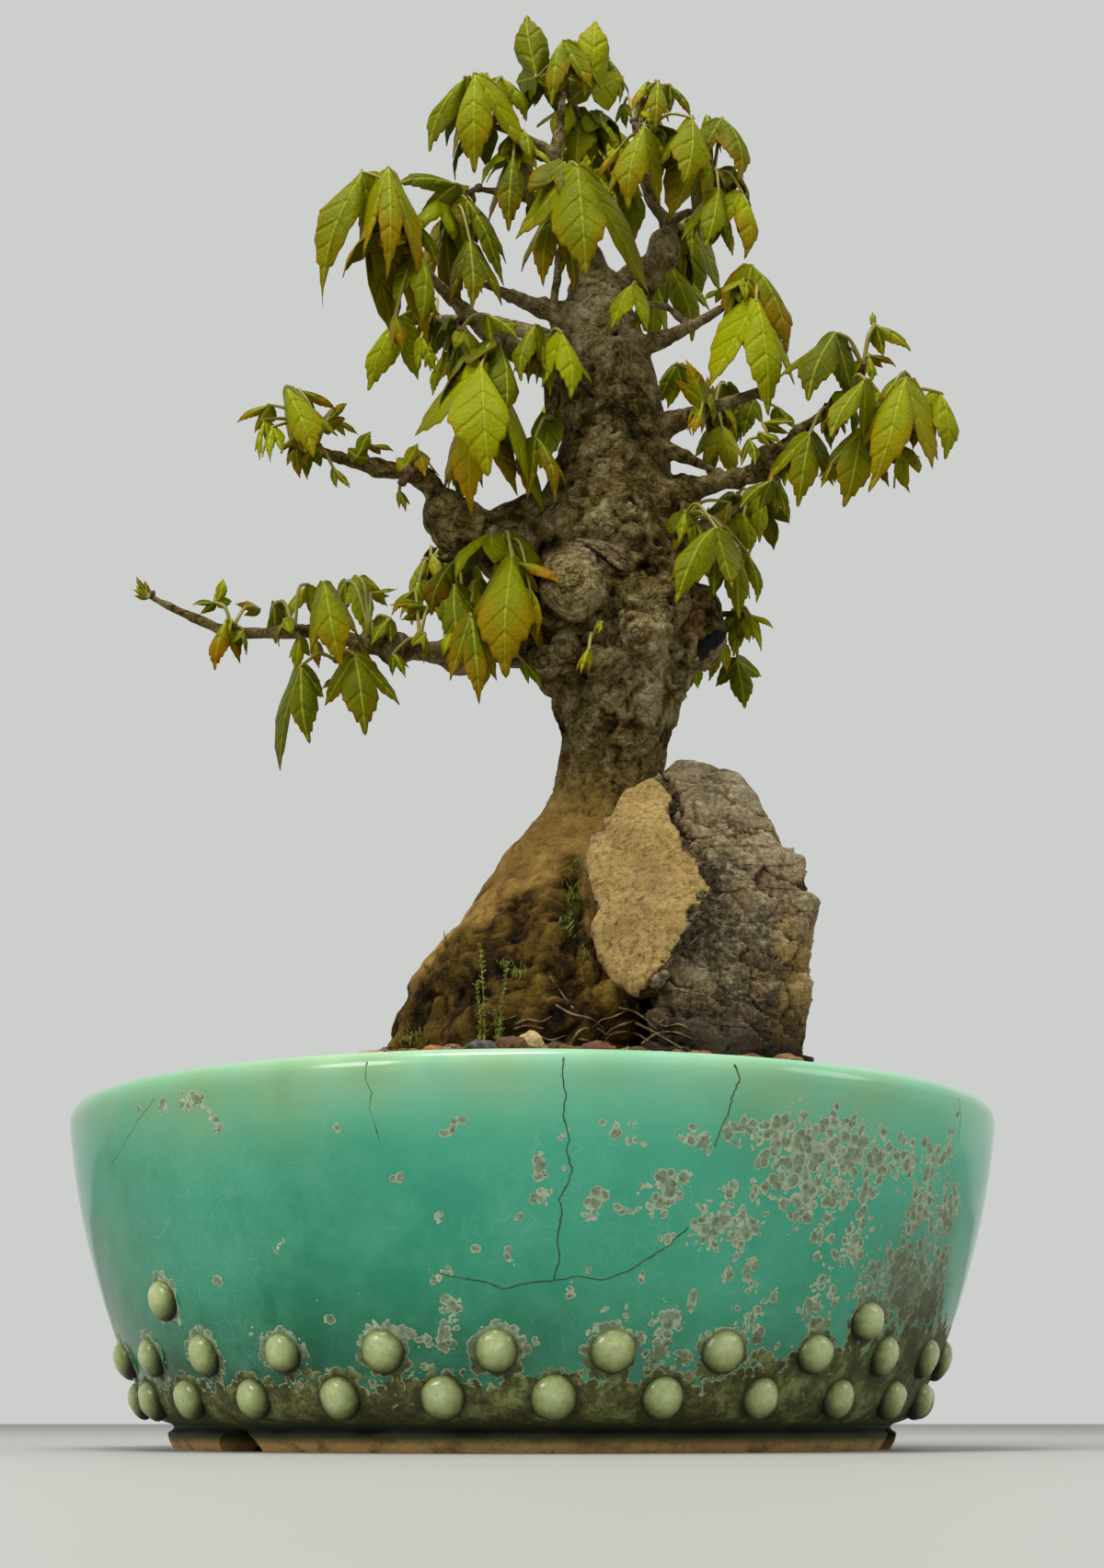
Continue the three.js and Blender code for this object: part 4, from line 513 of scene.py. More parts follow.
# Each shoot: where it runs, then its leaves: stalk end, tip, width, turn in degrees, age and, where they
# aren't the usual ones, the length and angle of the left and right lobes
SPRAYS = {
    "crown": ([(612, 80, -5), (626, 122, 0), (638, 130, 2)], [(583, 84, -12, 573, 17, -10, 1.15, -10, 0.1),
        (590, 82, -2, 606, 132, 3, 0.8, 20, 0.25), (612, 44, -14, 599, 117, -16, 0.6, -20, 0.3),
        (623, 45, -7, 637, 104, -12, 0.7, 15, 0.3), (643, 100, -3, 648, 22, -2, 0.95, 5, 0.15),
        (660, 62, 6, 674, 112, 4, 0.45, 25, 0.2), (634, 124, 5, 626, 182, -4, 0.9, -10, 0.1),
        (646, 124, 6, 690, 178, 8, 0.8, 25, 0.1)]),
    "top_left_tip": ([(527, 136, -12)], [(506, 84, -18, 466, 165, -14, 0.75, -35, 0.1),
        (517, 80, -22, 515, 186, -24, 0.7, -5, 0.3), (529, 80, -14, 546, 132, -16, 0.5, 30, 0.35),
        (545, 84, -6, 573, 131, -4, 0.8, 35, 0.2)]),
    "top_left_under": ([(562, 152, -12)], [(556, 160, -14, 524, 201, -18, 0.7, -40, 0.15),
        (572, 160, -16, 603, 184, -19, 0.4, 30, 0.3), (558, 168, -18, 552, 248, -20, 0.7, -5, 0.35),
        (568, 168, -8, 575, 214, -4, 0.8, 20, 0)]),
    "front_top": ([(608, 205, -12), (614, 190, -24)],
        [(627, 180, -32, 637, 299, -36, 1.05, 0, 0.2, 0.95, 50, 1.1, 34),
        (602, 225, -18, 590, 310, -16, 0.6, -10, 0.55), (618, 262, -12, 623, 317, -10, 0.5, 10, 0.5)]),
    "top_right": ([(690, 133, -9), (700, 150, -14)], [(704, 89, -12, 686, 120, -14, 0.7, -30, 0.5),
        (715, 88, -14, 712, 142, -18, 0.7, 0, 0.35), (727, 92, -6, 752, 128, -4, 0.6, 30, 0.3),
        (678, 114, 6, 681, 140, 8, 0.8, -10, 0.1), (752, 128, -22, 743, 197, -30, 1.15, 10, 0.15),
        (700, 139, -24, 683, 228, -28, 0.75, -10, 0.35), (676, 158, -16, 648, 196, -14, 0.5, -40, 0.75),
        (722, 162, -8, 727, 190, -6, 0.6, 0, 0.9)]),
    "top_right_tip": ([(775, 193, -11)], [(785, 128, -14, 803, 198, -20, 0.8, 25, 0.35),
        (768, 126, -8, 772, 170, -8, 0.4, -5, 0.6), (762, 150, -16, 768, 262, -16, 0.3, 40, 0.5),
        (806, 208, -18, 812, 279, -20, 0.75, 30, 0.55), (781, 206, -22, 766, 268, -26, 0.85, 5, 0.05),
        (783, 238, -4, 797, 278, 0, 0.8, 20, 0.2), (752, 203, 6, 742, 222, 6, 0.9, 0, 0.1)]),
    "right_high_back": ([(738, 254, 12)], [(752, 242, 22, 750, 345, 27, 0.95, 5, 0.1),
        (728, 288, 14, 752, 372, 20, 0.9, 10, 0.1), (713, 312, 4, 712, 380, 0, 0.65, 0, 0.15)]),
    "trunk_top_right": ([(694, 330, -10)], [(688, 309, -22, 664, 357, -26, 0.9, -20, 0.1),
        (697, 342, -16, 690, 362, -18, 0.5, 0, 0.2)]),
    "upper_left": ([(518, 205, -17), (504, 212, -20), (494, 226, -20)],
        [(497, 200, -24, 428, 200, -30, 0.65, -30, 0.15), (506, 216, -24, 548, 311, -18, 0.35, 20, 0.15),
        (511, 262, -26, 512, 337, -30, 0.65, 0, 0.25), (484, 240, -14, 500, 345, -10, 0.55, -5, 0.55)]),
    "upper_left_tip": ([(456, 286, -30), (446, 262, -34), (438, 236, -36)],
        [(394, 187, -38, 350, 332, -40, 0.3, -5, 0.25, 0.5, 34, 1.4, 26),
        (422, 182, -40, 420, 304, -48, 0.28, 5, 0.5), (448, 240, -24, 476, 288, -24, 0.6, 15, 0.1),
        (434, 268, -26, 466, 376, -22, 0.4, 10, 0.65), (430, 342, -36, 437, 382, -36, 0.5, 0, 0.75)]),
    "upper_left_back": ([(474, 346, 44)], [(432, 346, 40, 399, 424, 42, 0.9, -15, 0.1),
        (458, 366, 36, 474, 404, 36, 0.7, 10, 0.15), (470, 330, 60, 462, 400, 68, 1, 160, 0.1)]),
    "left_hanging": ([(498, 352, -12), (500, 360, -24)], [(497, 376, -8, 492, 438, -4, 0.8, 5, 0.15),
        (482, 384, -4, 470, 430, 2, 0.7, -15, 0.1), (512, 364, -18, 518, 402, -20, 0.6, 0, 0.1),
        (530, 342, -27, 562, 368, -29, 0.8, 15, 0.05)]),
    "trunk_top_front": ([(594, 378, -15)], [(582, 353, -22, 566, 414, -26, 0.85, -15, 0.05),
        (592, 364, -18, 598, 430, -18, 0.6, 0, 0.05), (610, 361, -26, 620, 433, -30, 0.9, 15, 0.05)]),
    "big_front_left": ([(540, 386, -20)], [(523, 397, -32, 530, 513, -42, 1.15, 0, 0.1, 0.85, 46, 1.25, 30),
        (516, 436, -23, 513, 558, -26, 0.55, -5, 0.6), (503, 462, -10, 503, 552, -8, 0.45, -15, 0.25)]),
    "trunk_left_high": ([(598, 456, -14)], [(582, 474, -19, 604, 545, -24, 0.4, 15, 0.5)]),
    "mid_left_tip": ([(343, 488, -22)], [(312, 420, -32, 341, 498, -36, 1, -5, 0.3),
        (294, 440, -26, 257, 459, -24, 0.5, -40, 0.55), (288, 456, -30, 282, 500, -32, 0.3, -20, 0.1),
        (297, 464, -34, 294, 503, -38, 0.3, -10, 0.1), (325, 424, -22, 366, 446, -18, 0.55, 30, 0.7),
        (322, 482, -12, 326, 520, -8, 0.7, -5, 0.6), (352, 462, -18, 379, 437, -14, 0.4, 20, 0.6),
        (366, 456, -12, 390, 472, -10, 0.5, 30, 0.4), (362, 508, -24, 381, 530, -26, 0.5, 10, 0.35)]),
    "mid_left_inner": ([(396, 488, -22)], [(388, 497, -26, 403, 469, -26, 1.2, 0, 0.2),
        (404, 484, -20, 428, 490, -18, 0.7, 20, 0.6)]),
    "mid_left_elbow": ([(446, 500, -21), (444, 514, -26), (437, 526, -24)],
        [(440, 508, -24, 454, 481, -24, 1.1, 0, 0.35), (452, 488, -18, 462, 516, -26, 0.8, 10, 0.6),
        (434, 534, -18, 441, 557, -18, 0.5, 0, 0.45)]),
    "low_left_tip": ([(163, 648, -8)], [(160, 645, -8, 148, 626, -9, 0.5, -10, 0.5),
        (160, 650, -10, 144, 640, -13, 0.5, 10, 0.2)]),
    "low_left_outer": ([(252, 684, -16)], [(236, 655, -12, 243, 629, -12, 1.15, 0, 0),
        (234, 655, -14, 209, 657, -16, 0.6, -10, 0.05), (246, 674, -18, 233, 728, -20, 0.75, -10, 0.85),
        (258, 680, -14, 256, 710, -14, 0.4, 10, 0.2), (282, 662, -6, 256, 656, -8, 0.8, 0, 0.85)]),
    "low_left_middle": ([(320, 685, -18)], [(298, 657, -4, 300, 700, 0, 1.25, -5, 0.1),
        (335, 635, -8, 314, 680, -12, 0.75, -25, 0.1), (326, 694, -17, 321, 730, -15, 0.85, -5, 0.15)]),
    "low_left_front": ([(354, 684, -15)], [(352, 633, -26, 372, 726, -30, 0.85, 5, 0.35),
        (343, 697, -14, 347, 726, -14, 0.7, 0, 0.75)]),
    "low_left_hanging": ([(386, 704, -15), (366, 718, -18)],
        [(327, 724, -22, 336, 807, -24, 1.05, -5, 0.1, 1.55, 24, 0.65, 30),
        (372, 735, -8, 350, 748, -8, 0.8, -20, 0.1), (386, 712, -24, 397, 799, -28, 1.05, 5, 0.2),
        (404, 720, -12, 406, 746, -10, 0.7, 10, 0.1)]),
    "low_left_upper": ([(402, 688, -10)], [(390, 628, 2, 396, 688, 4, 1, 0, 0),
        (376, 632, 8, 374, 668, 12, 0.8, -10, 0.05), (403, 645, -4, 432, 640, -4, 0.3, 10, 0.1),
        (424, 672, -18, 403, 700, -22, 0.8, -20, 0.1), (415, 670, -10, 420, 697, -8, 0.7, 10, 0.1)]),
    "low_mid_left": ([(456, 696, -19)], [(465, 660, -16, 424, 657, -20, 0.6, -10, 0.5),
        (450, 642, -8, 425, 668, -10, 0.6, -20, 0.2), (428, 710, -19, 441, 737, -19, 0.6, 10, 0.1)]),
    "low_mid_right": ([(508, 696, -19)], [(496, 607, -4, 468, 668, -6, 1.1, -15, 0.45),
        (494, 636, -22, 500, 716, -26, 0.85, -10, 0.1), (520, 630, -16, 510, 700, -18, 0.7, 0, 0.15),
        (512, 668, -32, 521, 766, -34, 0.5, 5, 0.5), (530, 662, -19, 533, 709, -20, 0.6, 10, 0.4),
        (531, 718, -18, 525, 748, -17, 1, 0, 0.1), (569, 718, -12, 588, 750, -12, 0.6, 10, 0.1)]),
    "trunk_left_front": ([(548, 588, -15)], [(556, 606, -28, 550, 735, -36, 0.95, 0, 0.5),
        (560, 611, -22, 610, 633, -27, 0.5, 20, 0.85), (576, 640, -24, 583, 695, -26, 0.3, 40, 0.6)]),
    "trunk_burl": ([(645, 692, -21)], [(654, 676, -26, 650, 689, -27, 0.7, 0, 0.2),
        (640, 704, -26, 631, 733, -28, 0.4, -10, 0.3)]),
    "right_high": ([(789, 332, -16), (806, 322, -18), (822, 318, -20)],
        [(783, 314, -12, 765, 326, -12, 0.8, -20, 0.1), (800, 312, -24, 813, 340, -26, 0.9, 10, 0.1),
        (796, 342, -14, 789, 385, -14, 0.9, -5, 0.35), (817, 288, -24, 858, 381, -26, 0.85, 25, 0.6),
        (822, 325, -30, 838, 447, -34, 0.6, 10, 0.15), (841, 354, -20, 811, 382, -22, 0.95, -10, 0.1),
        (842, 372, -14, 830, 412, -12, 0.6, 0, 0.4)]),
    "right_young": ([(764, 441, -15)], [(765, 437, -18, 745, 390, -22, 0.65, -10, 0.7),
        (767, 437, -15, 769, 407, -14, 0.35, 10, 0.6), (763, 443, -20, 753, 473, -24, 0.6, 0, 0.7)]),
    "right_back": ([(776, 446, 44)], [(736, 396, 38, 714, 440, 42, 0.85, -10, 0.15),
        (742, 396, 42, 765, 452, 44, 0.9, 10, 0.1), (785, 465, 38, 800, 522, 40, 0.8, 5, 0.45),
        (775, 468, 46, 770, 522, 50, 0.8, -5, 0.2), (818, 436, 42, 808, 475, 44, 1.1, 0, 0.05),
        (845, 443, 46, 866, 466, 48, 0.9, 15, 0.1), (790, 420, 58, 800, 490, 68, 1, 170, 0.1)]),
    "right_inner": ([(838, 487, -33)], [(815, 477, -32, 820, 505, -36, 0.8, 0, 0.05),
        (825, 470, -35, 850, 482, -36, 0.6, 10, 0.1), (829, 460, -33, 864, 458, -37, 0.5, 5, 0.15)]),
    "right_under": ([(842, 518, -29)], [(838, 522, -34, 804, 551, -36, 0.8, -20, 0.1),
        (842, 524, -30, 854, 560, -30, 0.45, 10, 0.3), (849, 532, -24, 858, 570, -24, 0.35, 25, 0.1)]),
    "right_fork": ([(904, 445, -34), (922, 428, -36), (938, 398, -36)],
        [(908, 362, -40, 878, 436, -46, 1, -15, 0.1), (911, 376, -34, 917, 430, -34, 0.75, 5, 0.15),
        (952, 354, -38, 990, 382, -40, 0.8, 20, 0.25), (950, 352, -36, 948, 337, -36, 0.3, 0, 0.25),
        (945, 386, -32, 975, 398, -30, 0.5, 25, 0.8), (944, 386, -38, 947, 417, -38, 0.8, 0, 0),
        (880, 472, -38, 867, 550, -38, 0.85, -5, 0.25), (940, 412, -46, 902, 476, -52, 0.65, -10, 0.15)]),
    "right_end": ([(974, 500, -38), (962, 474, -40), (968, 446, -40)],
        [(984, 404, -38, 950, 443, -40, 0.6, -20, 0.4), (985, 411, -46, 944, 532, -52, 0.6, -10, 0.4),
        (1002, 447, -36, 1020, 500, -34, 0.6, 20, 0.65), (1022, 427, -40, 1028, 499, -41, 0.95, 15, 0.1),
        (978, 500, -38, 1001, 497, -38, 0.5, 10, 0.2)]),
    "right_end_under": ([(930, 493, -40)], [(936, 470, -41, 917, 550, -43, 0.95, -5, 0.3),
        (905, 503, -39, 892, 530, -39, 0.6, -10, 0.5)]),
    "low_right_front": ([(742, 566, -10)], [(778, 573, -26, 734, 656, -34, 0.75, -20, 0.1),
        (781, 575, -20, 776, 648, -20, 0.8, 0, 0), (745, 556, -15, 737, 590, -17, 0.8, -10, 0.1),
        (792, 546, -12, 786, 576, -11, 0.5, 0, 0.5), (800, 592, -18, 804, 672, -20, 0.75, 5, 0.15),
        (812, 600, -10, 823, 655, -10, 0.6, 25, 0.15)]),
    "low_right_side": ([(803, 666, 0)], [(815, 668, -6, 841, 683, -6, 0.5, 20, 0.3),
        (812, 672, -4, 828, 708, -4, 0.4, 25, 0.1), (800, 670, 4, 797, 714, 6, 0.95, 0, 0.15),
        (785, 700, 8, 770, 740, 10, 0.7, -15, 0.5), (801, 718, 12, 810, 770, 14, 1.2, 5, 0.1)]),
    "trunk_back_right": ([(772, 694, 18)], [(757, 726, 20, 742, 757, 22, 0.8, -15, 0.05)]),
    "right_back_low": ([(816, 544, 48)], [(808, 560, 40, 815, 602, 42, 1.1, 5, 0.05),
        (828, 534, 42, 826, 590, 44, 0.8, 10, 0.1), (800, 540, 60, 806, 612, 70, 1, 165, 0.1),
        (770, 556, 56, 752, 622, 64, 0.9, -160, 0.15), (846, 520, 54, 852, 560, 60, 0.9, 130, 0.1)]),
    "left_back_low": ([(468, 610, 52)], [(480, 628, 44, 486, 690, 44, 0.9, 0, 0.1),
        (500, 590, 58, 520, 660, 68, 1, 170, 0.15), (470, 600, 64, 470, 664, 74, 1, -170, 0.1),
        (456, 630, 47, 448, 680, 45, 0.8, -20, 0.1)]),
    "back_high": ([(640, 194, 40.6)], [(640, 165, 46, 640, 262, 62, 1.1, 180, 0.1),
        (608, 178, 44, 590, 262, 54, 0.95, -150, 0.15), (672, 182, 42, 690, 262, 52, 0.95, 150, 0.1),
        (652, 140, 38, 668, 196, 32, 0.8, 20, 0.2)]),
    "back_middle": ([(640, 439, 58.6)], [(636, 400, 68, 630, 512, 82, 1.15, 180, 0.1),
        (606, 420, 62, 586, 510, 70, 0.95, -155, 0.1), (668, 420, 62, 690, 510, 70, 0.95, 155, 0.15),
        (616, 380, 56, 600, 430, 50, 0.8, -30, 0.1)]),
}


# Glazed stoneware: a glossy turquoise glass that pools dark in grooves and thins to mint at the lip, with
# painted shade low on the wall and a painted highlight on the lip
def glaze_material():
    m, add = new_material("turquoise glaze on stoneware")
    place = add("TexCoord")["Object"]
    parts = add("SeparateXYZ", [place])
    streaks = add("Mapping", {"Vector": place, "Scale": (1, 1, 0.25)})
    runs = add("TexNoise", {"Vector": streaks, "Scale": 60, "Detail": 3, "Roughness": 0.6})
    clouds = add("TexNoise", {"Vector": place, "Scale": 22, "Detail": 4, "Roughness": 0.55})
    wander = add("Math", [runs, -0.5])
    level = add("MapRange", [parts["Z"], 0, 0.0762])
    height = add("Math", [wander, 0.07, level], operation="MULTIPLY_ADD")
    # Darker down the lower wall, partly the glaze's own depth and partly painted shade; palest on top of the
    # lip, partly a painted highlight
    body = add("ValToRGB", [height], stops=[
        (0.1, "#10401f"), (0.17, "#094529"), (0.25, "#06573a"), (0.34, "#08704e"), (0.43, "#178664"),
        (0.54, "#228f6e"), (0.66, "#2b9475"), (0.76, "#379e7b"), (0.83, "#5aaf8a"), (0.88, "#76ba94"),
        (0.94, "#95c79c"), (1, "#b2d1a4")])
    # Painted reflection: the glaze turns greyer and darker towards the left edge, a dark sheen at grazing
    # angles
    painted_side_sheen = add("ValToRGB", [height], stops=[(0.2, "#173f2b"), (0.36, "#31664b"), (0.55, "#497e62")])
    ripple = add("TexNoise", {"Vector": place, "Scale": 75, "Detail": 6, "Roughness": 0.7})
    stain = add("Attribute", attribute_name="stain")["Fac"]
    # The glaze's own mottling and stains; the lightening from left of the middle towards the right is a
    # painted pool of light
    for source, begin, end, amount, tint in (
        (parts["X"], -0.02, -0.11, 0.55, painted_side_sheen), (ripple, 0.4, 0.62, 0.22, "#6dbd9c"),
        (clouds, 0.48, 0.7, 0.42, "#4fb190"), (clouds, 0.46, 0.3, 0.45, "#1d7f5e"),
        (parts["X"], -0.045, 0.035, 0.24, "#5cc3a2"), (stain, 0, 1, 1, "#86a86c"),
    ):
        body = add("MixRGB", [add("MapRange", [source, begin, end, 0, amount]), body, tint])
    # Crazing cells are about 3 mm across
    cells = add("TexVoronoi", {"Vector": place, "Scale": 330}, feature="DISTANCE_TO_EDGE")
    lines = add("MapRange", [cells, 0, 0.035, 0.2, 0])
    some = add("MapRange", [clouds, 0.4, 0.6])
    lines = add("Math", [lines, some], operation="MULTIPLY")
    body = add("MixRGB", [lines, body, "#8cc3a4"])
    # Crust: rounded scales about 2 mm across, pale along their outlines, that run together into patches
    grime = add("TexNoise", {"Vector": place, "Scale": 180, "Detail": 5, "Roughness": 0.65})
    fleck = add("TexNoise", {"Vector": place, "Scale": 900, "Detail": 4, "Roughness": 0.7})
    push = add("TexNoise", {"Vector": place, "Scale": 420, "Detail": 3, "Roughness": 0.6})["Color"]
    push = add("VectorMath", {0: push, "Scale": 0.0026}, operation="SCALE")
    bent = add("VectorMath", [place, push])
    scales = add("TexVoronoi", {"Vector": bent, "Scale": 470})
    luck = add("SeparateXYZ", [scales["Color"]])
    crust = add("Attribute", attribute_name="crust")["Fac"]
    near = add("Attribute", attribute_name="stud")["Fac"]
    ring = add("MapRange", [near, 4.4, 7.4, 0.95, 0.1])
    rightward = add("MapRange", [parts["X"], 0.03, 0.085, 0, 0.16])
    low = add("Math", [level, rightward], operation="SUBTRACT")
    band = add("MapRange", [low, 0.13, 0.235, 1.1, 0.12])
    ring = add("Math", [ring, band], operation="MAXIMUM")
    grown = add("Math", [ring, crust], operation="MAXIMUM")
    clean = add("MapRange", [grown, 0.05, 0.3, -0.3, 0])
    for part, weight in ((clean, 1), (luck, 0.5), (scales["Distance"], -0.75), (grime, 0.5)):
        grown = add("Math", [part, weight, grown], operation="MULTIPLY_ADD")
    patch = add("MapRange", [grown, 0.61, 0.63])
    inner = add("MapRange", [grown, 0.66, 0.78])
    free = add("MapRange", [low, 0.22, 0.34, 0, 0.55])
    outline = add("MapRange", [scales["Distance"], 0.42, 0.6, 0, free])
    inner = add("Math", [inner, outline], operation="SUBTRACT")
    speckled = add("MapRange", [fleck, 0.35, 0.65])
    grey = add("MixRGB", [speckled, "#5b6f52", "#8fa081"])
    earthy = add("MixRGB", [speckled, "#43471c", "#7a7c42"])
    earthy = add("MixRGB", [add("MapRange", [grime, 0.42, 0.6, 0.75, 0]), earthy, "#2f2c10"])
    earthy = add("MixRGB", [add("MapRange", [grime, 0.54, 0.68, 0, 0.6]), earthy, "#98a367"])
    banded = add("MapRange", [low, 0.19, 0.3, 1, 0])
    olive = add("MixRGB", [banded, grey, earthy])
    rim = add("MixRGB", [banded, "#b2c0a0", "#a3a87c"])
    crusty = add("MixRGB", [inner, rim, olive])
    shaded = add("MapRange", [near, 4.2, 6.2, 0.55, 0])
    shaded = add("Math", [shaded, banded], operation="MULTIPLY")
    crusty = add("MixRGB", [shaded, crusty, "#1e2108"])
    colour = add("MixRGB", [patch, body, crusty])
    dirt = add("Attribute", attribute_name="dirt")["Fac"]
    dirt = add("Math", [dirt, add("MapRange", [fleck, 0.35, 0.6, 0.45, 1])], operation="MULTIPLY")
    colour = add("MixRGB", [dirt, colour, "#33381f"])
    # The foot ring is bare, stained clay below a groove of dark pooled glaze; the groove is painted darker
    # still as its shade
    bare = add("ValToRGB", [level], stops=[
        (0, "#ba9559"), (0.018, "#b38f56"), (0.03, "#6e6135"), (0.037, "#4a4620"), (0.044, "#101d0c"),
        (0.065, "#071a0d"), (0.074, "#4a5128")])
    stained = add("MapRange", [grime, 0.5, 0.66, 0, 0.6])
    foot = add("MapRange", [level, 0.068, 0.08, 1, 0])
    colour = add("MixRGB", [foot, colour, add("MixRGB", [stained, bare, "#3a2c12"])])
    cover = add("Math", [patch, foot], operation="MAXIMUM")
    cover = add("Math", [cover, dirt], operation="MAXIMUM")
    soft = add("MapRange", [cover, 0, 1, 0.12, 0.7])
    raised = add("Math", [patch, fleck], operation="MULTIPLY")
    bumps = add("Math", [clouds, 0.2, raised], operation="MULTIPLY_ADD")
    normal = add("Bump", {"Height": bumps, "Distance": 0.0005, "Strength": 0.8})
    shader = add("BsdfPrincipled", {
        "Base Color": colour, "Roughness": soft, "Normal": normal, "IOR": 1.5, "Specular IOR Level": 0.36})
    add("OutputMaterial", [shader])
    return m


# The studs carry the same glaze, thinned over pale clay; they are painted lighter where they face up and
# darker round their feet, as painted light and shade
def stud_material():
    m, add = new_material("celadon glaze on clay studs")
    place = add("TexCoord")["Object"]
    dome = add("Attribute", attribute_name="dome")["Fac"]
    mottle = add("TexNoise", {"Vector": place, "Scale": 800, "Detail": 4, "Roughness": 0.65})
    # Painted light: each stud is lighter where it faces up, and darker at its foot as painted shade
    painted_top_light = add("SeparateXYZ", [add("TexCoord")["Normal"]])["Z"]
    level = add("Math", [add("Math", [mottle, -0.5]), 0.45, dome], operation="MULTIPLY_ADD")
    level = add("Math", [painted_top_light, 0.3, level], operation="MULTIPLY_ADD")
    colour = add("ValToRGB", [level], stops=[
        (0, "#1f240c"), (0.2, "#4a5326"), (0.42, "#747f45"), (0.68, "#9eab70"), (1, "#d0d9a5")])
    rough = add("MapRange", [level, 0.1, 0.5, 0.6, 0.16])
    normal = add("Bump", {"Height": mottle, "Distance": 0.0002, "Strength": 0.4})
    shader = add("BsdfPrincipled", {"Base Color": colour, "Roughness": rough, "Normal": normal, "IOR": 1.5})
    add("OutputMaterial", [shader])
    return m


# Dull natural stuff: clay in a crack, green wood, buds, moss, roots, pebbles, and the plastic of the screen
def plain_material(name, dark, light, size, rough, lift=0.0003, spread=(0.35, 0.65)):
    """A surface mottled between two colours, with grain of a size in millimetres and a lift in metres."""
    m, add = new_material(name)
    place = add("TexCoord")["Object"]
    grain = add("TexNoise", {"Vector": place, "Scale": 1000 / size, "Detail": 6, "Roughness": 0.62})
    mixed = add("MapRange", [grain, *spread])
    colour = add("MixRGB", [mixed, dark, light])
    normal = add("Bump", {"Height": grain, "Distance": lift, "Strength": 0.8})
    shader = add("BsdfPrincipled", {"Base Color": colour, "Roughness": rough, "Normal": normal})
    add("OutputMaterial", [shader])
    return m


# Maple bark: dull grey-brown plates with dark cracks, ochre where it is young and damp near the soil
def bark_material():
    m, add = new_material("old maple bark")
    place = add("TexCoord")["Object"]
    # This attribute holds painted light and shade: lighter on raised bark, darker in hollows, and lighter or
    # darker in bands up the trunk
    relief = add("Attribute", attribute_name="relief")["Fac"]
    zones = add("SeparateXYZ", [add("Attribute", attribute_name="zones")["Vector"]])
    marks = add("SeparateXYZ", [add("Attribute", attribute_name="marks")["Vector"]])
    black = add("Attribute", attribute_name="seal")["Fac"]
    grain = add("TexNoise", {"Vector": place, "Scale": 800, "Detail": 6, "Roughness": 0.7})
    broad = add("TexNoise", {"Vector": place, "Scale": 110, "Detail": 4, "Roughness": 0.6})
    blotch = add("TexNoise", {
        "Vector": place, "Scale": 210, "Detail": 6, "Roughness": 0.66, "Distortion": 0.9})
    # Wrinkles lie a little flatter than they are long: wide ones every 5 mm and fine ones every 2 mm
    squat = add("Mapping", {"Vector": place, "Scale": (1, 1, 1.3)})
    creases = []
    for size, width in ((190, 0.035), (430, 0.06)):
        wave = add("TexNoise", {"Vector": squat, "Scale": size, "Distortion": 0.6})
        wave = add("Math", [add("Math", [wave, -0.5])], operation="ABSOLUTE")
        creases.append(add("MapRange", [wave, 0, width, 1, 0]))
    flakes = add("Math", [creases[1], 0.6, creases[0]], operation="MULTIPLY_ADD")
    weathered = add("Math", [zones[1], -0.75, 1], operation="MULTIPLY_ADD")
    flakes = add("Math", [flakes, weathered], operation="MULTIPLY")
    # Fine rings lie round each burl
    burl = add("SeparateXYZ", [add("Attribute", attribute_name="rings")["Vector"]])
    turn = add("Math", [broad, 26], operation="MULTIPLY")
    turn = add("Math", [burl[0], 4.2, turn], operation="MULTIPLY_ADD")
    rings = add("Math", [add("Math", [turn], operation="SINE"), burl[1]], operation="MULTIPLY")
    light, height = -1.28, 0
    for part, shown, raised in (
        (grain, 0.5, 1), (blotch, 1.3, 0.65), (broad, 0.8, 0), (flakes, -0.12, -0.45), (rings, 0.09, 0.24),
        (relief, 1, 0),
    ):
        light = add("Math", [part, shown, light], operation="MULTIPLY_ADD")
        if raised:
            height = add("Math", [part, raised, height], operation="MULTIPLY_ADD")
    old, warm, flare, wet, pale = (add("ValToRGB", [light], stops=stops) for stops in (
        [(0.04, "#0f0a02"), (0.22, "#3b2f0e"), (0.4, "#66572b"), (0.58, "#8b7e54"), (0.85, "#b8ae86")],
        [(0.05, "#0d0702"), (0.3, "#3f2d0d"), (0.6, "#6f5427"), (0.9, "#9a8250")],
        [(0.05, "#32220a"), (0.3, "#816330"), (0.55, "#a07f40"), (1, "#c7a667")],
        [(0.08, "#0a0500"), (0.34, "#33230a"), (0.6, "#5e4816"), (1, "#866d32")],
        [(0.1, "#5a4d32"), (0.5, "#8e7f5e"), (1, "#bfb293")],
    ))
    warmed = add("MapRange", [broad, 0.42, 0.62, 0, 0.55])
    moss = add("MixRGB", [grain, "#14170a", "#555a12"])
    green = add("MapRange", [add("Math", [zones[2], grain]), 0.85, 1.1, 0, 0.75])
    colour = old
    # Dark marks are partly painted shade in holes and hollows; pale, rust, moss and seal are the bark's own
    for amount, tint in (
        (warmed, warm), (zones[1], flare), (zones[0], wet), (marks[0], "#0c0804"), (marks[1], pale),
        (marks[2], "#6b3a17"), (green, moss), (black, "#17191a"),
    ):
        colour = add("MixRGB", [amount, colour, tint])
    rough = add("MapRange", [black, 0, 1, 0.9, 0.35])
    normal = add("Bump", {"Height": height, "Distance": 0.001})
    shader = add("BsdfPrincipled", {
        "Base Color": colour, "Roughness": rough, "Normal": normal, "Specular IOR Level": 0.1})
    add("OutputMaterial", [shader])
    return m


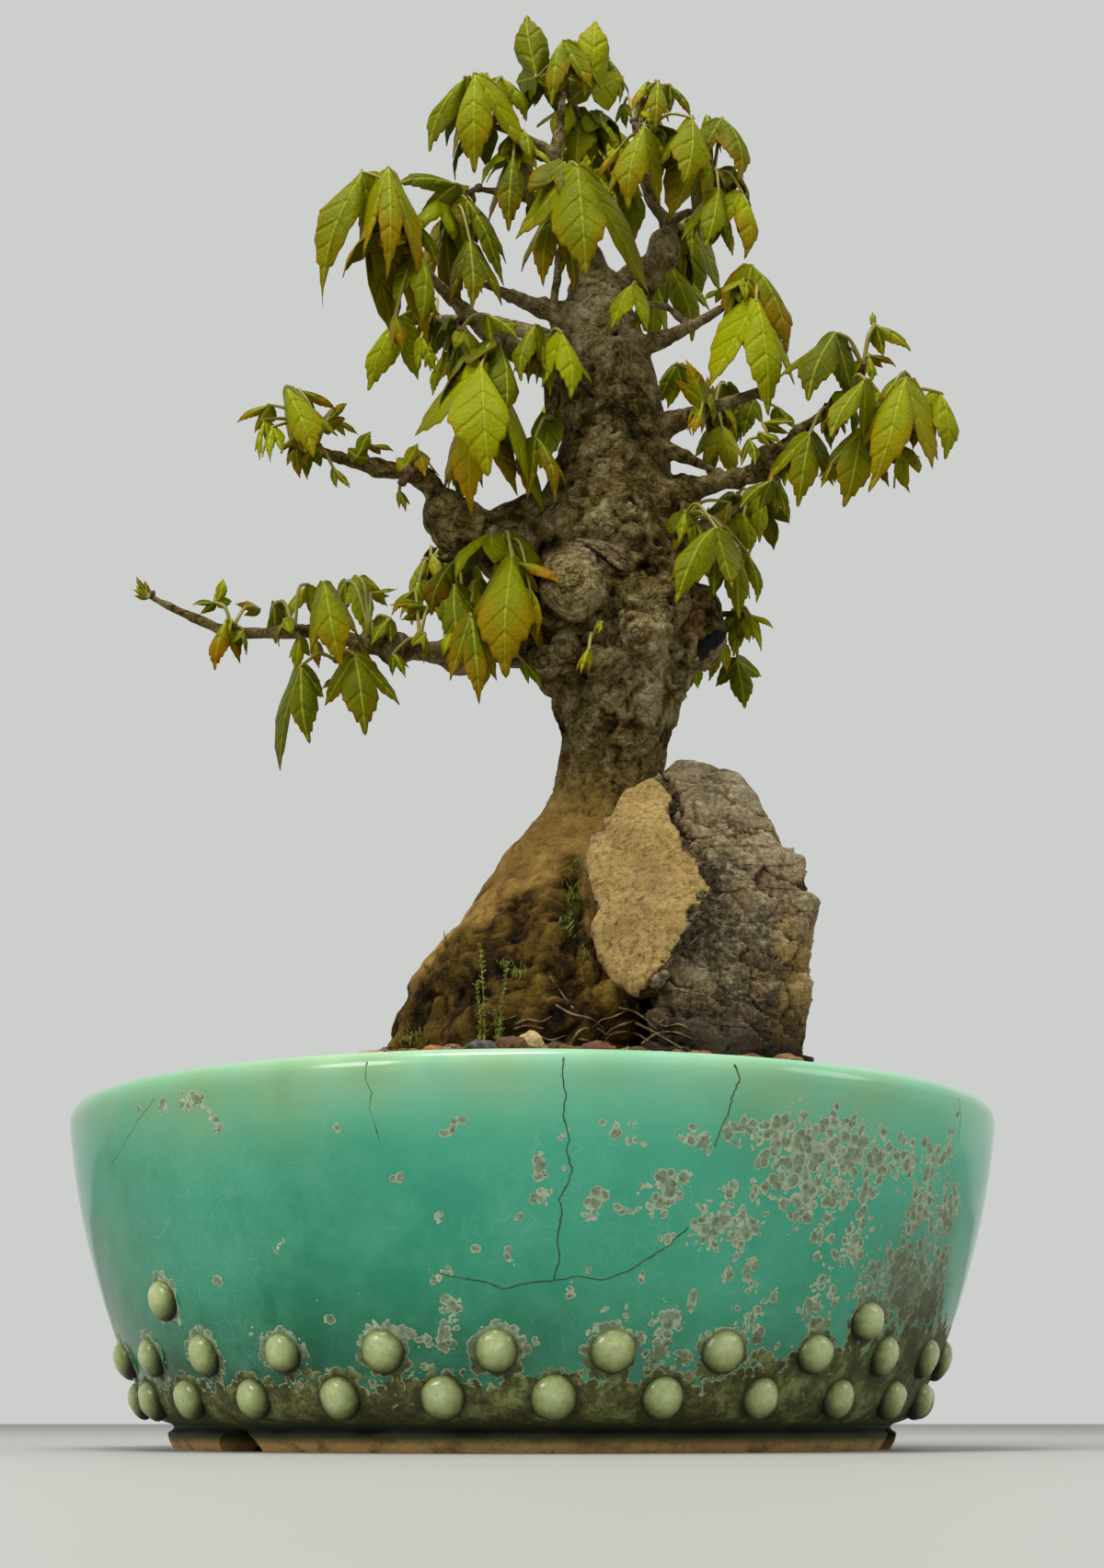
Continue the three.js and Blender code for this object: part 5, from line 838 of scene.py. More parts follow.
# Layered sandstone: a tan granular face, and purple-brown weathered layers with grey lichen specks
def rock_material():
    m, add = new_material("weathered layered sandstone")
    place = add("TexCoord")["Object"]
    # This attribute holds painted light and shade on the rock
    relief = add("Attribute", attribute_name="relief")["Fac"]
    zones = add("SeparateXYZ", [add("Attribute", attribute_name="zones")["Vector"]])
    grit = add("TexNoise", {"Vector": place, "Scale": 800, "Detail": 6, "Roughness": 0.75})
    broad = add("TexNoise", {"Vector": place, "Scale": 100, "Detail": 5, "Roughness": 0.65})
    tilted = add("Mapping", {"Vector": place, "Rotation": (0, -0.52, 0), "Scale": (0.25, 0.25, 1)})
    layers = add("TexNoise", {"Vector": tilted, "Scale": 260, "Detail": 6, "Roughness": 0.65})
    # Dark seams run along the layers, about 8 mm apart
    seams = add("TexNoise", {
        "Vector": tilted, "Scale": 120, "Detail": 4, "Roughness": 0.55, "Distortion": 0.4})
    seams = add("Math", [add("Math", [seams, -0.5])], operation="ABSOLUTE")
    seams = add("MapRange", [seams, 0, 0.035, 1, 0])
    bedded = add("MapRange", [zones[0], 0.4, 0.9, 0.5, 0])
    seams = add("Math", [seams, bedded], operation="MULTIPLY")
    light = -0.85
    for part, weight in ((grit, 1.7), (seams, -0.4), (relief, 1)):
        light = add("Math", [part, weight, light], operation="MULTIPLY_ADD")
    sand = add("ValToRGB", [light], stops=[
        (0.02, "#3a290c"), (0.18, "#7b602c"), (0.38, "#a4874a"), (0.62, "#bfa163"), (1, "#dcc48c")])
    rust = add("MapRange", [broad, 0.5, 0.66, 0, 0.5])
    sand = add("MixRGB", [rust, sand, "#7d6232"])
    pits = add("TexNoise", {"Vector": place, "Scale": 480, "Detail": 3, "Roughness": 0.7})
    pits = add("MapRange", [pits, 0.56, 0.66, 0, 0.55])
    sand = add("MixRGB", [pits, sand, "#5a421a"])
    brown = add("ValToRGB", [light], stops=[
        (0.02, "#120c05"), (0.2, "#4b391e"), (0.4, "#7d6840"), (0.65, "#a3946f"), (1, "#cfc6a8")])
    tone = add("MapRange", [layers, 0.46, 0.62, 0, 0.6])
    brown = add("MixRGB", [tone, brown, add("ValToRGB", [light], stops=[
        (0.02, "#1c120b"), (0.4, "#6b5038"), (1, "#a08a6c")])])
    specks = add("TexNoise", {"Vector": place, "Scale": 620, "Detail": 4, "Roughness": 0.7})
    lichen = add("ValToRGB", [specks], stops=[
        (0.36, "#1c170b"), (0.46, "#51462b"), (0.55, "#7b6f4f"), (0.66, "#b1a686")])
    colour, height = brown, grit
    for amount, tint in zip(zones, (sand, lichen, "#1c140a")):
        colour = add("MixRGB", [amount, colour, tint])
    for part, weight in ((specks, 0.6), (seams, -0.9), (pits, -0.7)):
        height = add("Math", [part, weight, height], operation="MULTIPLY_ADD")
    normal = add("Bump", {"Height": height, "Distance": 0.0011})
    shader = add("BsdfPrincipled", {
        "Base Color": colour, "Roughness": 0.88, "Normal": normal, "Specular IOR Level": 0.3})
    add("OutputMaterial", [shader])
    return m


# Baked clay, pumice and lava grit: each grain has its own tone of brown
def grit_material():
    m, add = new_material("baked clay and lava grit")
    place = add("TexCoord")["Object"]
    tone = add("Attribute", attribute_name="tone")["Fac"]
    dust = add("TexNoise", {"Vector": place, "Scale": 900, "Detail": 4, "Roughness": 0.65})
    colour = add("ValToRGB", [tone], stops=[
        (0, "#231a0e"), (0.2, "#3b2a16"), (0.4, "#5c4020"), (0.55, "#7c4f26"), (0.7, "#8f6d3c"),
        (0.82, "#6b6557"), (0.92, "#a88f62"), (1, "#c4b08a")])
    dim = add("MapRange", [dust, 0.35, 0.6, 0.6, 0])
    colour = add("MixRGB", [dim, colour, "#2b2011"])
    normal = add("Bump", {"Height": dust, "Distance": 0.0005, "Strength": 0.9})
    shader = add("BsdfPrincipled", {"Base Color": colour, "Roughness": 0.92, "Normal": normal})
    add("OutputMaterial", [shader])
    return m


# A maple leaf: a thin translucent blade with lighter veins, rusty towards its edge as it ages
def leaf_material(name, deep, bright, vein, rusty, shine):
    m, add = new_material(name)
    place = add("TexCoord")
    spot = add("SeparateXYZ", [place["UV"]])
    edge, age, own = (add("Attribute", attribute_name=kept)["Fac"] for kept in ("edge", "age", "own"))
    mottle = add("TexNoise", {"Vector": place["Object"], "Scale": 160, "Detail": 4, "Roughness": 0.6})
    fine = add("TexNoise", {"Vector": place["Object"], "Scale": 900, "Detail": 3, "Roughness": 0.6})
    level = add("Math", [mottle, 0.6, own], operation="MULTIPLY_ADD")
    level = add("MapRange", [level, 0.25, 1.35])
    colour = add("MixRGB", [level, deep, bright])
    # Main veins are about half a millimetre wide, and side veins leave them every 3 mm
    main = add("MapRange", [spot[0], 0.12, 0.42, 1, 0])
    slant = add("Math", [spot[0], -0.9, spot[1]], operation="MULTIPLY_ADD")
    slant = add("Math", [mottle, 1.6, slant], operation="MULTIPLY_ADD")
    slant = add("Math", [slant, 3.2], operation="PINGPONG")
    side = add("MapRange", [slant, 0.05, 0.3, 0.28, 0])
    veins = add("Math", [main, side], operation="MAXIMUM")
    lit = add("Math", [veins, 0.45], operation="MULTIPLY")
    colour = add("MixRGB", [lit, colour, vein])
    old = add("Math", [age, 0.8, edge], operation="MULTIPLY_ADD")
    old = add("Math", [mottle, 0.5, old], operation="MULTIPLY_ADD")
    old = add("MapRange", [old, 1.16, 1.9])
    colour = add("MixRGB", [old, colour, rusty])
    puffed = add("MapRange", [slant, 0.1, 1.3], interpolation_type="SMOOTHSTEP")
    height = add("Math", [puffed, 0.7, fine], operation="MULTIPLY_ADD")
    height = add("Math", [veins, -0.5, height], operation="MULTIPLY_ADD")
    normal = add("Bump", {"Height": height, "Distance": 0.0004})
    shader = add("BsdfPrincipled", {
        "Base Color": colour, "Roughness": shine, "Normal": normal, "Specular IOR Level": 0.04,
        "Subsurface Weight": 0.1, "Subsurface Radius": (0.8, 1, 0.15), "Subsurface Scale": 0.0006})
    add("OutputMaterial", [shader])
    return m


glaze = glaze_material()
stud_glaze = stud_material()
crack_clay = plain_material("stained clay in a crack", "#22381f", "#4a5f38", 1.5, 0.9)
bark = bark_material()
stone = rock_material()
grit = grit_material()
upper_leaf = leaf_material("maple leaf upper face", "#3f4500", "#888e00", "#aeae2c", "#8d5f00", 0.4)
lower_leaf = leaf_material("maple leaf underside", "#474b04", "#7c8216", "#90962c", "#785208", 0.55)
stalk_green = plain_material("young maple stalk", "#6b6a14", "#93851f", 3, 0.5)
bud_brown = plain_material("maple bud and shoot", "#3a2410", "#6e4f24", 1.5, 0.7)
moss_green = plain_material("fresh moss", "#4a4c08", "#8f942c", 1.2, 0.8)
root_tan = plain_material("dry surface root", "#3a2a12", "#8f7748", 2, 0.8)
screen_black = plain_material("moulded polypropylene mesh", "#15171a", "#24272b", 2, 0.5, 0.0001)


# Pot: one profile turned about the upright axis, notched through its foot ring
def spaced(points, step):
    """The points with more between them, about a step apart."""
    found = []
    for a, b in zip(points, points[1:]):
        count = max(1, round(dist(a, b) / step))
        found += [(a[0] + (b[0] - a[0]) * k / count, a[1] + (b[1] - a[1]) * k / count) for k in range(count)]
    return found + [points[-1]]


def wall_radius(z):
    """The outer radius of the pot's wall at a height."""
    return track(WALL_BY_HEIGHT, max(z, WALL_BY_HEIGHT[0][0]))


def around(angle, radius, z):
    """The place at an angle from the front, a radius and a height."""
    return Vector((radius * sin(radians(angle)), -radius * cos(radians(angle)), z))


def on_pot(px, py):
    """Where the line of sight through a pixel meets the front of the pot's wall."""
    low, high = -125.0, 0.0
    for _ in range(40):
        middle = (low + high) / 2
        spot = seen(px, py, middle)
        if hypot(spot.x, spot.y) > wall_radius(spot.z):
            low = middle
        else:
            high = middle
    return seen(px, py, low)


def wall_normal(spot):
    """The direction that the pot's wall faces at a place."""
    slope = (wall_radius(spot.z + 2) - wall_radius(spot.z - 2)) / 4
    outward = Vector((spot.x, spot.y, 0)).normalized()
    return (outward - Vector((0, 0, slope))).normalized()


def stud_centres():
    """Two rows of studs, and the stray ones above them."""
    places = []
    for first, z in STUD_ROWS:
        places += [(first + k * STUD_STEP, z) for k in range(STUD_COUNT)]
    places += STRAY_STUDS
    return [around(angle, wall_radius(z), z) for angle, z in places]


def notch_cutter():
    """Three low arches that run outwards through the foot ring."""
    bm = bmesh.new()
    for angle in NOTCHES:
        bmesh.ops.create_cone(
            bm, cap_ends=True, segments=32, radius1=1, radius2=1, depth=30,
            matrix=Matrix.Rotation(radians(angle), 4, "Z") @ Matrix.Translation((0, -82, 0))
            @ Matrix.Diagonal((NOTCH_WIDTH / 2, 1, NOTCH_HEIGHT, 1)) @ Matrix.Rotation(pi / 2, 4, "X"),
        )
    return bm


def crisp(bm, limit):
    """Marks edges sharper than an angle, so that smooth shading stops at them."""
    for edge in bm.edges:
        edge.smooth = len(edge.link_faces) != 2 or edge.calc_face_angle() < radians(limit)


def warp(spot):
    """How far the hand-made wall strays from round."""
    return Vector((spot.x, spot.y, 0)).normalized() * 0.22 * noise(spot / 24)


def placed(marks):
    """Where marks lie on the pot, with their size in mm and their strength."""
    return [(on_pot(px, py), size * POT_PIXEL, force) for px, py, size, force in marks]


def make_pot():
    profile = FOOT + spaced(WALL, 1.4) + spaced(LIP, 0.9) + spaced(INSIDE, 9)
    bm = cut(spun(profile, SPIN_STEPS, True), notch_cutter())
    layers = bm.verts.layers.float
    crust, stud = layers.new("crust"), layers.new("stud")
    tints = [(layers.new("dirt"), placed(DIRT)), (layers.new("stain"), placed(STAINS))]
    centres = stud_centres()
    luck = random.Random(11)
    spots = placed(CRUST)
    backs = [drawn(luck, (80, 280), (14, 68), (1.5, 5)) for _ in range(BACK_SPOTS)]
    spots += [(around(luck.uniform(80, 280), wall_radius(z), z), size, 0.85) for _, z, size in backs]
    near_spots, near_studs = lookup([spot for spot, *_ in spots]), lookup(centres)
    for vert in bm.verts:
        spot = vert.co
        if hypot(spot.x, spot.y) < INNER_WALL or spot.z > LIP_TOP:
            vert[stud] = NO_STUD
            continue
        vert[stud] = min(NO_STUD, near_studs.find(spot)[2])
        for tint, table in tints:
            vert[tint] = max(
                force * exp(-(((spot - centre).length / size) ** 2)) for centre, size, force in table)
        for _, index, away in near_spots.find_range(spot, 24):
            _, size, force = spots[index]
            size *= 1.5 if size > 3.6 else 1.3 if size > 2.4 else 1
            vert[crust] = max(vert[crust], force * exp(-0.7 * (away / size) ** 2))
        vert.co = spot + warp(spot)
    crisp(bm, 38)
    to_piece("glazed_pot", bm, [glaze], "glaze", "pot")

    bm = bmesh.new()
    dome = bm.verts.layers.float.new("dome")
    for centre in centres:
        normal = wall_normal(centre)
        side = Vector((0, 0, 1)).cross(normal).normalized()
        up = normal.cross(side)
        turn = Matrix((side, up, normal)).transposed().to_4x4()
        size = drawn(luck, (4.15, 4.7), (4.2, 4.8), (2.5, 2.95))
        made = bmesh.ops.create_uvsphere(
            bm, u_segments=24, v_segments=12, radius=1,
            matrix=Matrix.Translation(centre + normal * 0.1) @ turn @ Matrix.Diagonal((*size, 1)),
        )["verts"]
        for vert in made:
            off = vert.co - centre
            away = off.dot(normal) / size.z
            # Paler towards the dome's top, where the glaze thins, darker at its foot as painted shade, and
            # lighter on its upper side as painted light
            vert[dome] = away * 0.85 + 0.16 * off.dot(up) / size.y
            vert.co = vert.co + off.normalized() * 0.25 * noise(vert.co / 2.6)
    to_piece("pot_studs", bm, [stud_glaze], "glaze", "pot")

    bm = bmesh.new()
    for lines, width in ((CRACKS, 0.21), (FAINT_CRACKS, 0.13)):
        for line in lines:
            bends = []
            for (ax, ay), (bx, by) in zip(line, line[1:]):
                for step in range(5):
                    amount = step / 5
                    jog = 1.6 * noise(Vector((ax + bx * amount, ay + by * amount, 3)) / 7)
                    bends.append((ax + (bx - ax) * amount + jog, ay + (by - ay) * amount + jog * 0.6))
            points = [on_pot(*spot) for spot in bends + line[-1:]]
            radii = [width * (0.7 + 0.5 * abs(noise(spot / 3))) for spot in points]
            tube(bm, [spot + warp(spot) - wall_normal(spot) * 0.07 for spot in points], radii, 6)
    to_piece("glaze_cracks", bm, [crack_clay], "glaze", "pot")


make_pot()


# Tree: overlapping limbs and burls are joined into one skin, which is then weathered into bark
def limb(rows):
    """The points and radii of a limb, from its table."""
    spots = curve_through([Vector((*seen(px, py, depth), radius)) for px, py, depth, radius in rows], 8)
    return [spot.to_3d() for spot in spots], [spot.w for spot in spots]


def gnarled(points, radii, amount=0.16):
    """Radii that swell and pinch along a limb, more on the thin ones."""
    return [
        radius * (1 + amount * min(1, 4 / radius) * 1.6 * noise(spot / 4.2))
        for spot, radius in zip(points, radii)
    ]


def leaner(rows):
    """The branch as it is in the photo: its collision shape is about one and a half times as thick."""
    return [
        (px, py, depth, max(0.62, radius * (0.86, 0.68, 0.62)[min(index, 2)]))
        for index, (px, py, depth, radius) in enumerate(rows)
    ]


BRANCHES = {name: leaner(rows) for name, rows in BRANCHES.items()}
LIMBS = {name: limb(rows) for name, rows in {"trunk": TRUNK, **ROOTS, **BRANCHES}.items()}
SAMPLES = [
    (spot, radius, (points[min(i + 1, len(points) - 1)] - points[max(i - 1, 0)]).normalized())
    for points, radii in LIMBS.values()
    for i, (spot, radius) in enumerate(zip(points, radii))
]
LIMB_TREE = lookup([spot for spot, *_ in SAMPLES])


def limbs_near(spot, count):
    """The nearest samples of limbs: place, radius, direction."""
    return [SAMPLES[index] for _, index, _ in LIMB_TREE.find_n(spot, count)]


def nearest_limb(spot):
    """The sample of a limb whose surface lies nearest."""
    return min(limbs_near(spot, 6), key=lambda sample: (sample[0] - spot).length - sample[1])


def wetness(px, py, spot):
    """1 below the damp line of the root flare, 0 above it."""
    return smooth(-14, 16, py - track(WET_LINE, max(px, 400)) + 20 * noise(spot / 7))


def bark_height(spot, radius, ahead, px, py, facing):
    """How far the bark stands out, in mm, its marks (dark, pale and rust) and its burl rings."""
    thick = min(1, radius / 11)
    smoothness = smooth(840, 900, py) * (1 - wetness(px, py, spot))
    rough = (1 - 0.7 * smoothness) * (0.3 + 0.7 * thick)
    stretched = spot - ahead * spot.dot(ahead) * 0.55
    creases = 1.1 * smooth(0.12, 0, abs(noise(stretched / 7))) + 0.36 * smooth(
        0.14, 0, abs(noise(spot / 3.4 + Vector((7, 1, 3)))))
    height = rough * (
        2.0 * thick * noise(spot / 12) + 0.8 * thick * noise(spot / 6) - creases * (0.4 + 0.6 * thick)
        + 0.6 * (1 - thick) * noise(spot / 3) + 0.35 * noise(spot / 1.9) + 0.3
    )
    height += smoothness * 0.7 * noise(Vector((spot.x / 3.4, spot.y / 3.4, spot.z / 22)))
    wet = wetness(px, py, spot)
    height += wet * (1.5 * noise(spot / 5.5) + 0.5 * noise(spot / 2.3))
    marks, rings = [0, 0, 0], (0, 0)
    if facing > 0:
        strength = smooth(0, 0.35, facing)
        for mx, my, size, lift, *kinds in BARK_MARKS:
            away = hypot(px - mx, py - my) / size
            if away < 2:
                close = exp(-(5 if lift < -0.5 else 2) * away * away) * strength
                height += lift * close
                marks = [max(kept, kind * min(1, 1.6 * close)) for kept, kind in zip(marks, kinds)]
        for mx, my, wide, tall, force in RINGED_BURLS:
            away = hypot((px - mx) / wide, (py - my) / tall) + 0.12 * noise(spot / 4)
            if away < 1.5:
                inside = smooth(1.05, 0.85, away) * strength
                height *= 1 - 0.65 * inside * force
                height += force * strength * (0.9 * sqrt(max(0, 1 - away * away))
                                              - 1.3 * exp(-(((away - 1.08) / 0.13) ** 2)))
                if inside * force > rings[1]:
                    rings = (away * (wide + tall) / 2 * RING_PIXEL, 0.8 * inside * force)
    return height, marks, rings


def hollows(bm):
    """How far each point of the skin lies in a hollow, in mm."""
    bm.normal_update()
    kept = [(vert.co.copy(), vert.normal.copy()) for vert in bm.verts]
    soften(bm, 9)
    depths = [(vert.co - place).dot(normal) for vert, (place, normal) in zip(bm.verts, kept)]
    for vert, (place, _) in zip(bm.verts, kept):
        vert.co = place
    return depths


def bark_layers(bm):
    """The layers of the bark's painted shading, seal, zones, marks and rings, made where they are missing."""
    numbers, vectors = bm.verts.layers.float, bm.verts.layers.float_vector
    wanted = (
        (numbers, "relief"), (numbers, "seal"), (vectors, "zones"), (vectors, "marks"), (vectors, "rings"))
    return [kind.get(name) or kind.new(name) for kind, name in wanted]


def weather(bm, made=None):
    """Raises the bark, and keeps what the finish needs to know about it."""
    depths = dict(zip(bm.verts, hollows(bm))) if made is None else {}
    bm.normal_update()
    relief, _, zones, marked, ringed = bark_layers(bm)
    moved = []
    for vert in made or bm.verts:
        spot = vert.co.copy()
        centre, radius, ahead = nearest_limb(spot)
        px, py = pixel_of(spot)
        facing = vert.normal.dot((EYE - spot).normalized())
        if spot.y > centre.y + 4:
            facing = 0
        height, marks, rings = bark_height(spot, radius, ahead, px, py, facing)
        limit = 0.35 * radius + 0.2
        height = max(-limit, min(limit, height))
        moved.append((vert, spot + vert.normal * height))
        # Painted light and shade: raised bark lighter and hollows darker; the trunk painted lighter near the
        # top, under the canopy, and round the low burls, and darker in a band near the middle
        shade = 0.42 + 0.14 * height / (0.35 + 0.55 * min(1, radius / 11)) - 0.5 * depths.get(vert, 0)
        shade += 0.13 * smooth(450, 340, py) + 0.21 * exp(-(((py - 735) / 42) ** 2))
        shade += 0.05 * exp(-(((py - 825) / 40) ** 2)) - 0.07 * exp(-(((py - 500) / 45) ** 2))
        vert[relief] = min(0.8, max(0.02, shade))
        wet = wetness(px, py, spot)
        ochre = smooth(815, 900, py + 22 * noise(spot / 9))
        green = 0.55 * exp(-(((px - 622) / 20) ** 2 + ((py - 985) / 60) ** 2)) * (1 if spot.y < 10 else 0.3)
        green = max(green, wet * 0.34 * smooth(0.05, 0.5, noise(spot / 9 + Vector((3, 5, 1)))))
        green = max(green, 0.32 * smooth(0.25, 0.6, noise(spot / 11)) * smooth(900, 700, py))
        vert[zones] = Vector((wet, ochre, green))
        vert[marked] = Vector(marks)
        vert[ringed] = Vector((*rings, 0))
    for vert, place in moved:
        vert.co = place


def spur_feet():
    """A short wooden spur from the nearest limb to each bud."""
    for spray in SPRAYS.values():
        bud = seen(*spray[0][0])
        foot, radius, _ = min(limbs_near(bud, 20), key=lambda sample: (sample[0] - bud).length)
        yield foot, bud, radius


def make_tree():
    bm = bmesh.new()
    for name, (points, radii) in LIMBS.items():
        sides = 32 if name == "trunk" else 20 if name in ROOTS else 14
        radii = radii if name == "trunk" or name in ROOTS else gnarled(points, radii)
        thick = [i for i, radius in enumerate(radii) if radius > 1.25]
        end = thick[-1] + 1 if thick else 0
        if end > 3:
            tube(bm, points[:end], radii[:end], sides)
    for px, py, depth, radius, *stretch in BURLS + KNOBS:
        lump(bm, seen(px, py, depth), [radius * part for part in stretch], 3)
    for name, rows in BRANCHES.items():
        for px, py, depth, radius in rows[1:-1]:
            if 1.4 < radius < 6:
                lump(bm, seen(px, py, depth), (radius * 1.3,) * 3, 2)
    bm = remeshed(bm, BARK_VOXEL)
    soften(bm)
    weather(bm)

    # Twigs and spurs are too thin for the skin, so they are let into it
    thin = set()
    for name, (points, radii) in LIMBS.items():
        radii = gnarled(points, radii, 0.2)
        tail = [i for i, radius in enumerate(radii) if radius < 1.7]
        if tail and len(points) - tail[0] > 2:
            first = max(0, tail[0] - 2)
            thin |= set(tube(bm, points[first:], radii[first:], 10)[0])
    for foot, bud, radius in spur_feet():
        reach = (bud - foot).length
        if reach < 1.5:
            continue
        sag = Vector((0.1, 0, 0.12)) * reach * noise(bud)
        points = curve_through([foot, (foot + bud) / 2 + sag, bud], 6)
        start = min(radius, 1.5 + reach * 0.04)
        widths = [start + (0.85 - start) * i / (len(points) - 1) for i in range(len(points))]
        thin |= set(tube(bm, points, gnarled(points, widths, 0.25), 8)[0])
    weather(bm, list(thin))
    skin = BVHTree.FromBMesh(bm)
    to_piece("maple_tree", bm, [bark], "bark", "tree")
    return skin


def make_knots(skin):
    """Healed knots, torn wood and a sealed wound, let into the bark where the front view shows them."""
    bm = bmesh.new()
    relief, seal, _, marked, _ = bark_layers(bm)

    def on_bark(px, py):
        """Where the line of sight through a pixel meets the bark, and the bark's direction there."""
        return skin.ray_cast(EYE, (seen(px, py, 0) - EYE).normalized())[:2]

    for px, py, wide, tall, turn, kind in KNOTS:
        hits = [on_bark(px + wide * a * 0.8, py + tall * b * 0.8) for a, b in FEELERS]
        hits = [hit for hit in hits if hit[0]]
        middle = sum((hit[0] for hit in hits), Vector()) / len(hits)
        normal = sum((hit[1] for hit in hits), Vector()).normalized()
        side = Vector((0, 0, 1)).cross(normal).normalized()
        up = normal.cross(side)
        lean = radians(turn)
        side, up = side * cos(lean) + up * sin(lean), up * cos(lean) - side * sin(lean)
        shape = [(0, -2.2, 0, 0, 0, 0), (0.8, -2, 0, 0, 0, 0), *KNOT_SHAPES[kind]]
        shape.append((0, *shape[-1][1:]))
        sheet = bmesh.ops.create_grid(bm, x_segments=30, y_segments=len(shape) - 1, size=0.5)["verts"]
        for vert in sheet:
            angle = (vert.co.x + 0.5) * tau
            part, height, dark, pale, rust, black = shape[round((vert.co.y + 0.5) * (len(shape) - 1))]
            reach = part * TRUNK_PIXEL * (1 + 0.14 * noise(
                Vector((px + 1.5 * cos(angle), py + 1.5 * sin(angle), part))))
            vert.co = middle + side * cos(angle) * reach * wide + up * sin(angle) * reach * tall
            vert.co += normal * (height + (0.3 * noise(vert.co / 1.3) if kind != "seal" else 0.5))
            vert[relief] = 0.48 + 0.1 * noise(vert.co / 2)
            vert[marked], vert[seal] = Vector((dark, min(1, pale * 1.4), rust)), black
        bmesh.ops.remove_doubles(bm, verts=sheet, dist=1e-3)
    for line, width, pale in SPLINTERS:
        points = [hit + normal * 0.35 for hit, normal in (on_bark(*spot) for spot in line) if hit]
        points = curve_through(points, 6)
        radii = [width * sqrt(max(0.05, sin(pi * (i + 0.5) / len(points)))) for i in range(len(points))]
        for vert in tube(bm, points, radii, 8)[0]:
            vert.co += Vector((0.5, 0, 0.5)) * noise(Vector((vert.co.x, vert.co.y, vert.co.z * 4)) / 2)
            # A strand with no paleness is dark: painted shade in the gap under the splinters
            vert[relief], vert[marked] = 0.45, Vector((1 if pale == 0 else 0, pale, 0.1))
    bmesh.ops.recalc_face_normals(bm, faces=bm.faces)
    to_piece("bark_knots", bm, [bark], "bark", "tree")


tree_skin = make_tree()
make_knots(tree_skin)


# Rock: the CAD stone's own facets, worn into layers, pits and grains
def inside_outline(px, py, corners):
    """Whether a pixel lies inside an outline."""
    crossings = 0
    for (ax, ay), (bx, by) in zip(corners, corners[1:] + corners[:1]):
        if (ay > py) != (by > py) and px < ax + (py - ay) * (bx - ax) / (by - ay):
            crossings += 1
    return crossings % 2 == 1


def make_rock():
    bm = bmesh.new()
    bm.from_mesh(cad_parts["rock"].data)
    bmesh.ops.scale(bm, vec=(1 / MM, 1 / MM, 1 / MM), verts=bm.verts)
    bmesh.ops.remove_doubles(bm, verts=bm.verts, dist=1e-3)
    bm = remeshed(bm, ROCK_VOXEL)
    soften(bm)
    bm.normal_update()
    relief = bm.verts.layers.float.new("relief")
    zones = bm.verts.layers.float_vector.new("zones")
    # Layers dip to the right at about 30 degrees, broken across every 15 mm
    lean, along = Vector((0.5, 0.12, 0.86)).normalized(), Vector((0.83, 0.3, -0.47)).normalized()
    moved = []
    for vert in bm.verts:
        spot = vert.co.copy()
        px, py = pixel_of(spot + Vector((noise(spot / 6), 0, noise(spot / 6 + Vector((5, 5, 5))))) * 2.2)
        facing = vert.normal.dot((EYE - spot).normalized())
        tan = 1.0 if facing > -0.1 and inside_outline(px, py, TAN_FACE) and spot.y < 0 else 0.0
        if spot.y < 0:
            edge = 14 * noise(spot / 6)
            tan = max(tan, 0.75 * smooth(842, 866, px + edge) * smooth(998, 1020, py + edge))
        warp = 0.7 * noise(spot / 11) + 0.25 * noise(spot / 4)
        layer = spot.dot(lean) / 7 + warp * 0.8
        course = floor(layer)
        step = layer - course
        joint = (spot - lean * spot.dot(lean)).dot(along) / 15 + 0.5 * noise(spot / 9) + course * 0.37
        block = noise(Vector((course * 3.1, floor(joint) * 5.7, 1.3)))
        tilt = noise(Vector((course * 1.7, floor(joint) * 2.9, 8.1)))
        crack = max(smooth(0.13, 0.0, step), 0.7 * smooth(0.07, 0.0, joint - floor(joint)))
        parted = tan < 0.9 and spot.y < 0 and inside_outline(px - 9, py + 3, TAN_FACE)
        crag = (
            2.6 * block + 2.2 * tilt * (joint - floor(joint) - 0.5) + 2.2 * (step - 0.5) - 1.1 * crack
            + 0.5 * noise(spot / 13) + 0.35 * noise(spot / 4.5) + 0.35 * noise(spot / 1.9)
        )
        sandy = (
            0.9 * noise(spot / 16) + 0.7 * noise(spot / 6) + 0.7 * (0.3 - abs(noise(spot / 4.5)))
            + 0.4 * noise(spot / 2) + 0.25 * noise(spot / 0.9)
        )
        height = sandy if tan > 0.9 else crag - 1.4 * parted
        moved.append((vert, spot + vert.normal * height))
        # Painted light and shade: raised rock and the upper part lighter, the strip sunk beside the tan face
        # darker as its shadow; the cracks are darker too
        shade = 0.44 + 0.1 * height - 0.2 * parted
        shade += (0.2 * smooth(925, 870, py) - 0.32 * crack) * (tan < 0.9)
        vert[relief] = min(0.8, max(0.02, shade))
        grey = exp(-(((px - 775) / 42) ** 2 + ((py - 1020) / 62) ** 2))
        speck = smooth(0.0, 0.3, noise(spot / 10 + Vector((2, 9, 4))) + 0.9 * grey - 0.25)
        ground = smooth(104, 84, spot.z + 3 * noise(spot / 5))
        vert[zones] = Vector((tan, speck * (0.85 if tan < 0.5 else 0.12), ground * 0.9))
    for vert, place in moved:
        vert.co = place
    skin = BVHTree.FromBMesh(bm)
    to_piece("sandstone_rock", bm, [stone], "rock", "rock")
    return skin


rock_skin = make_rock()


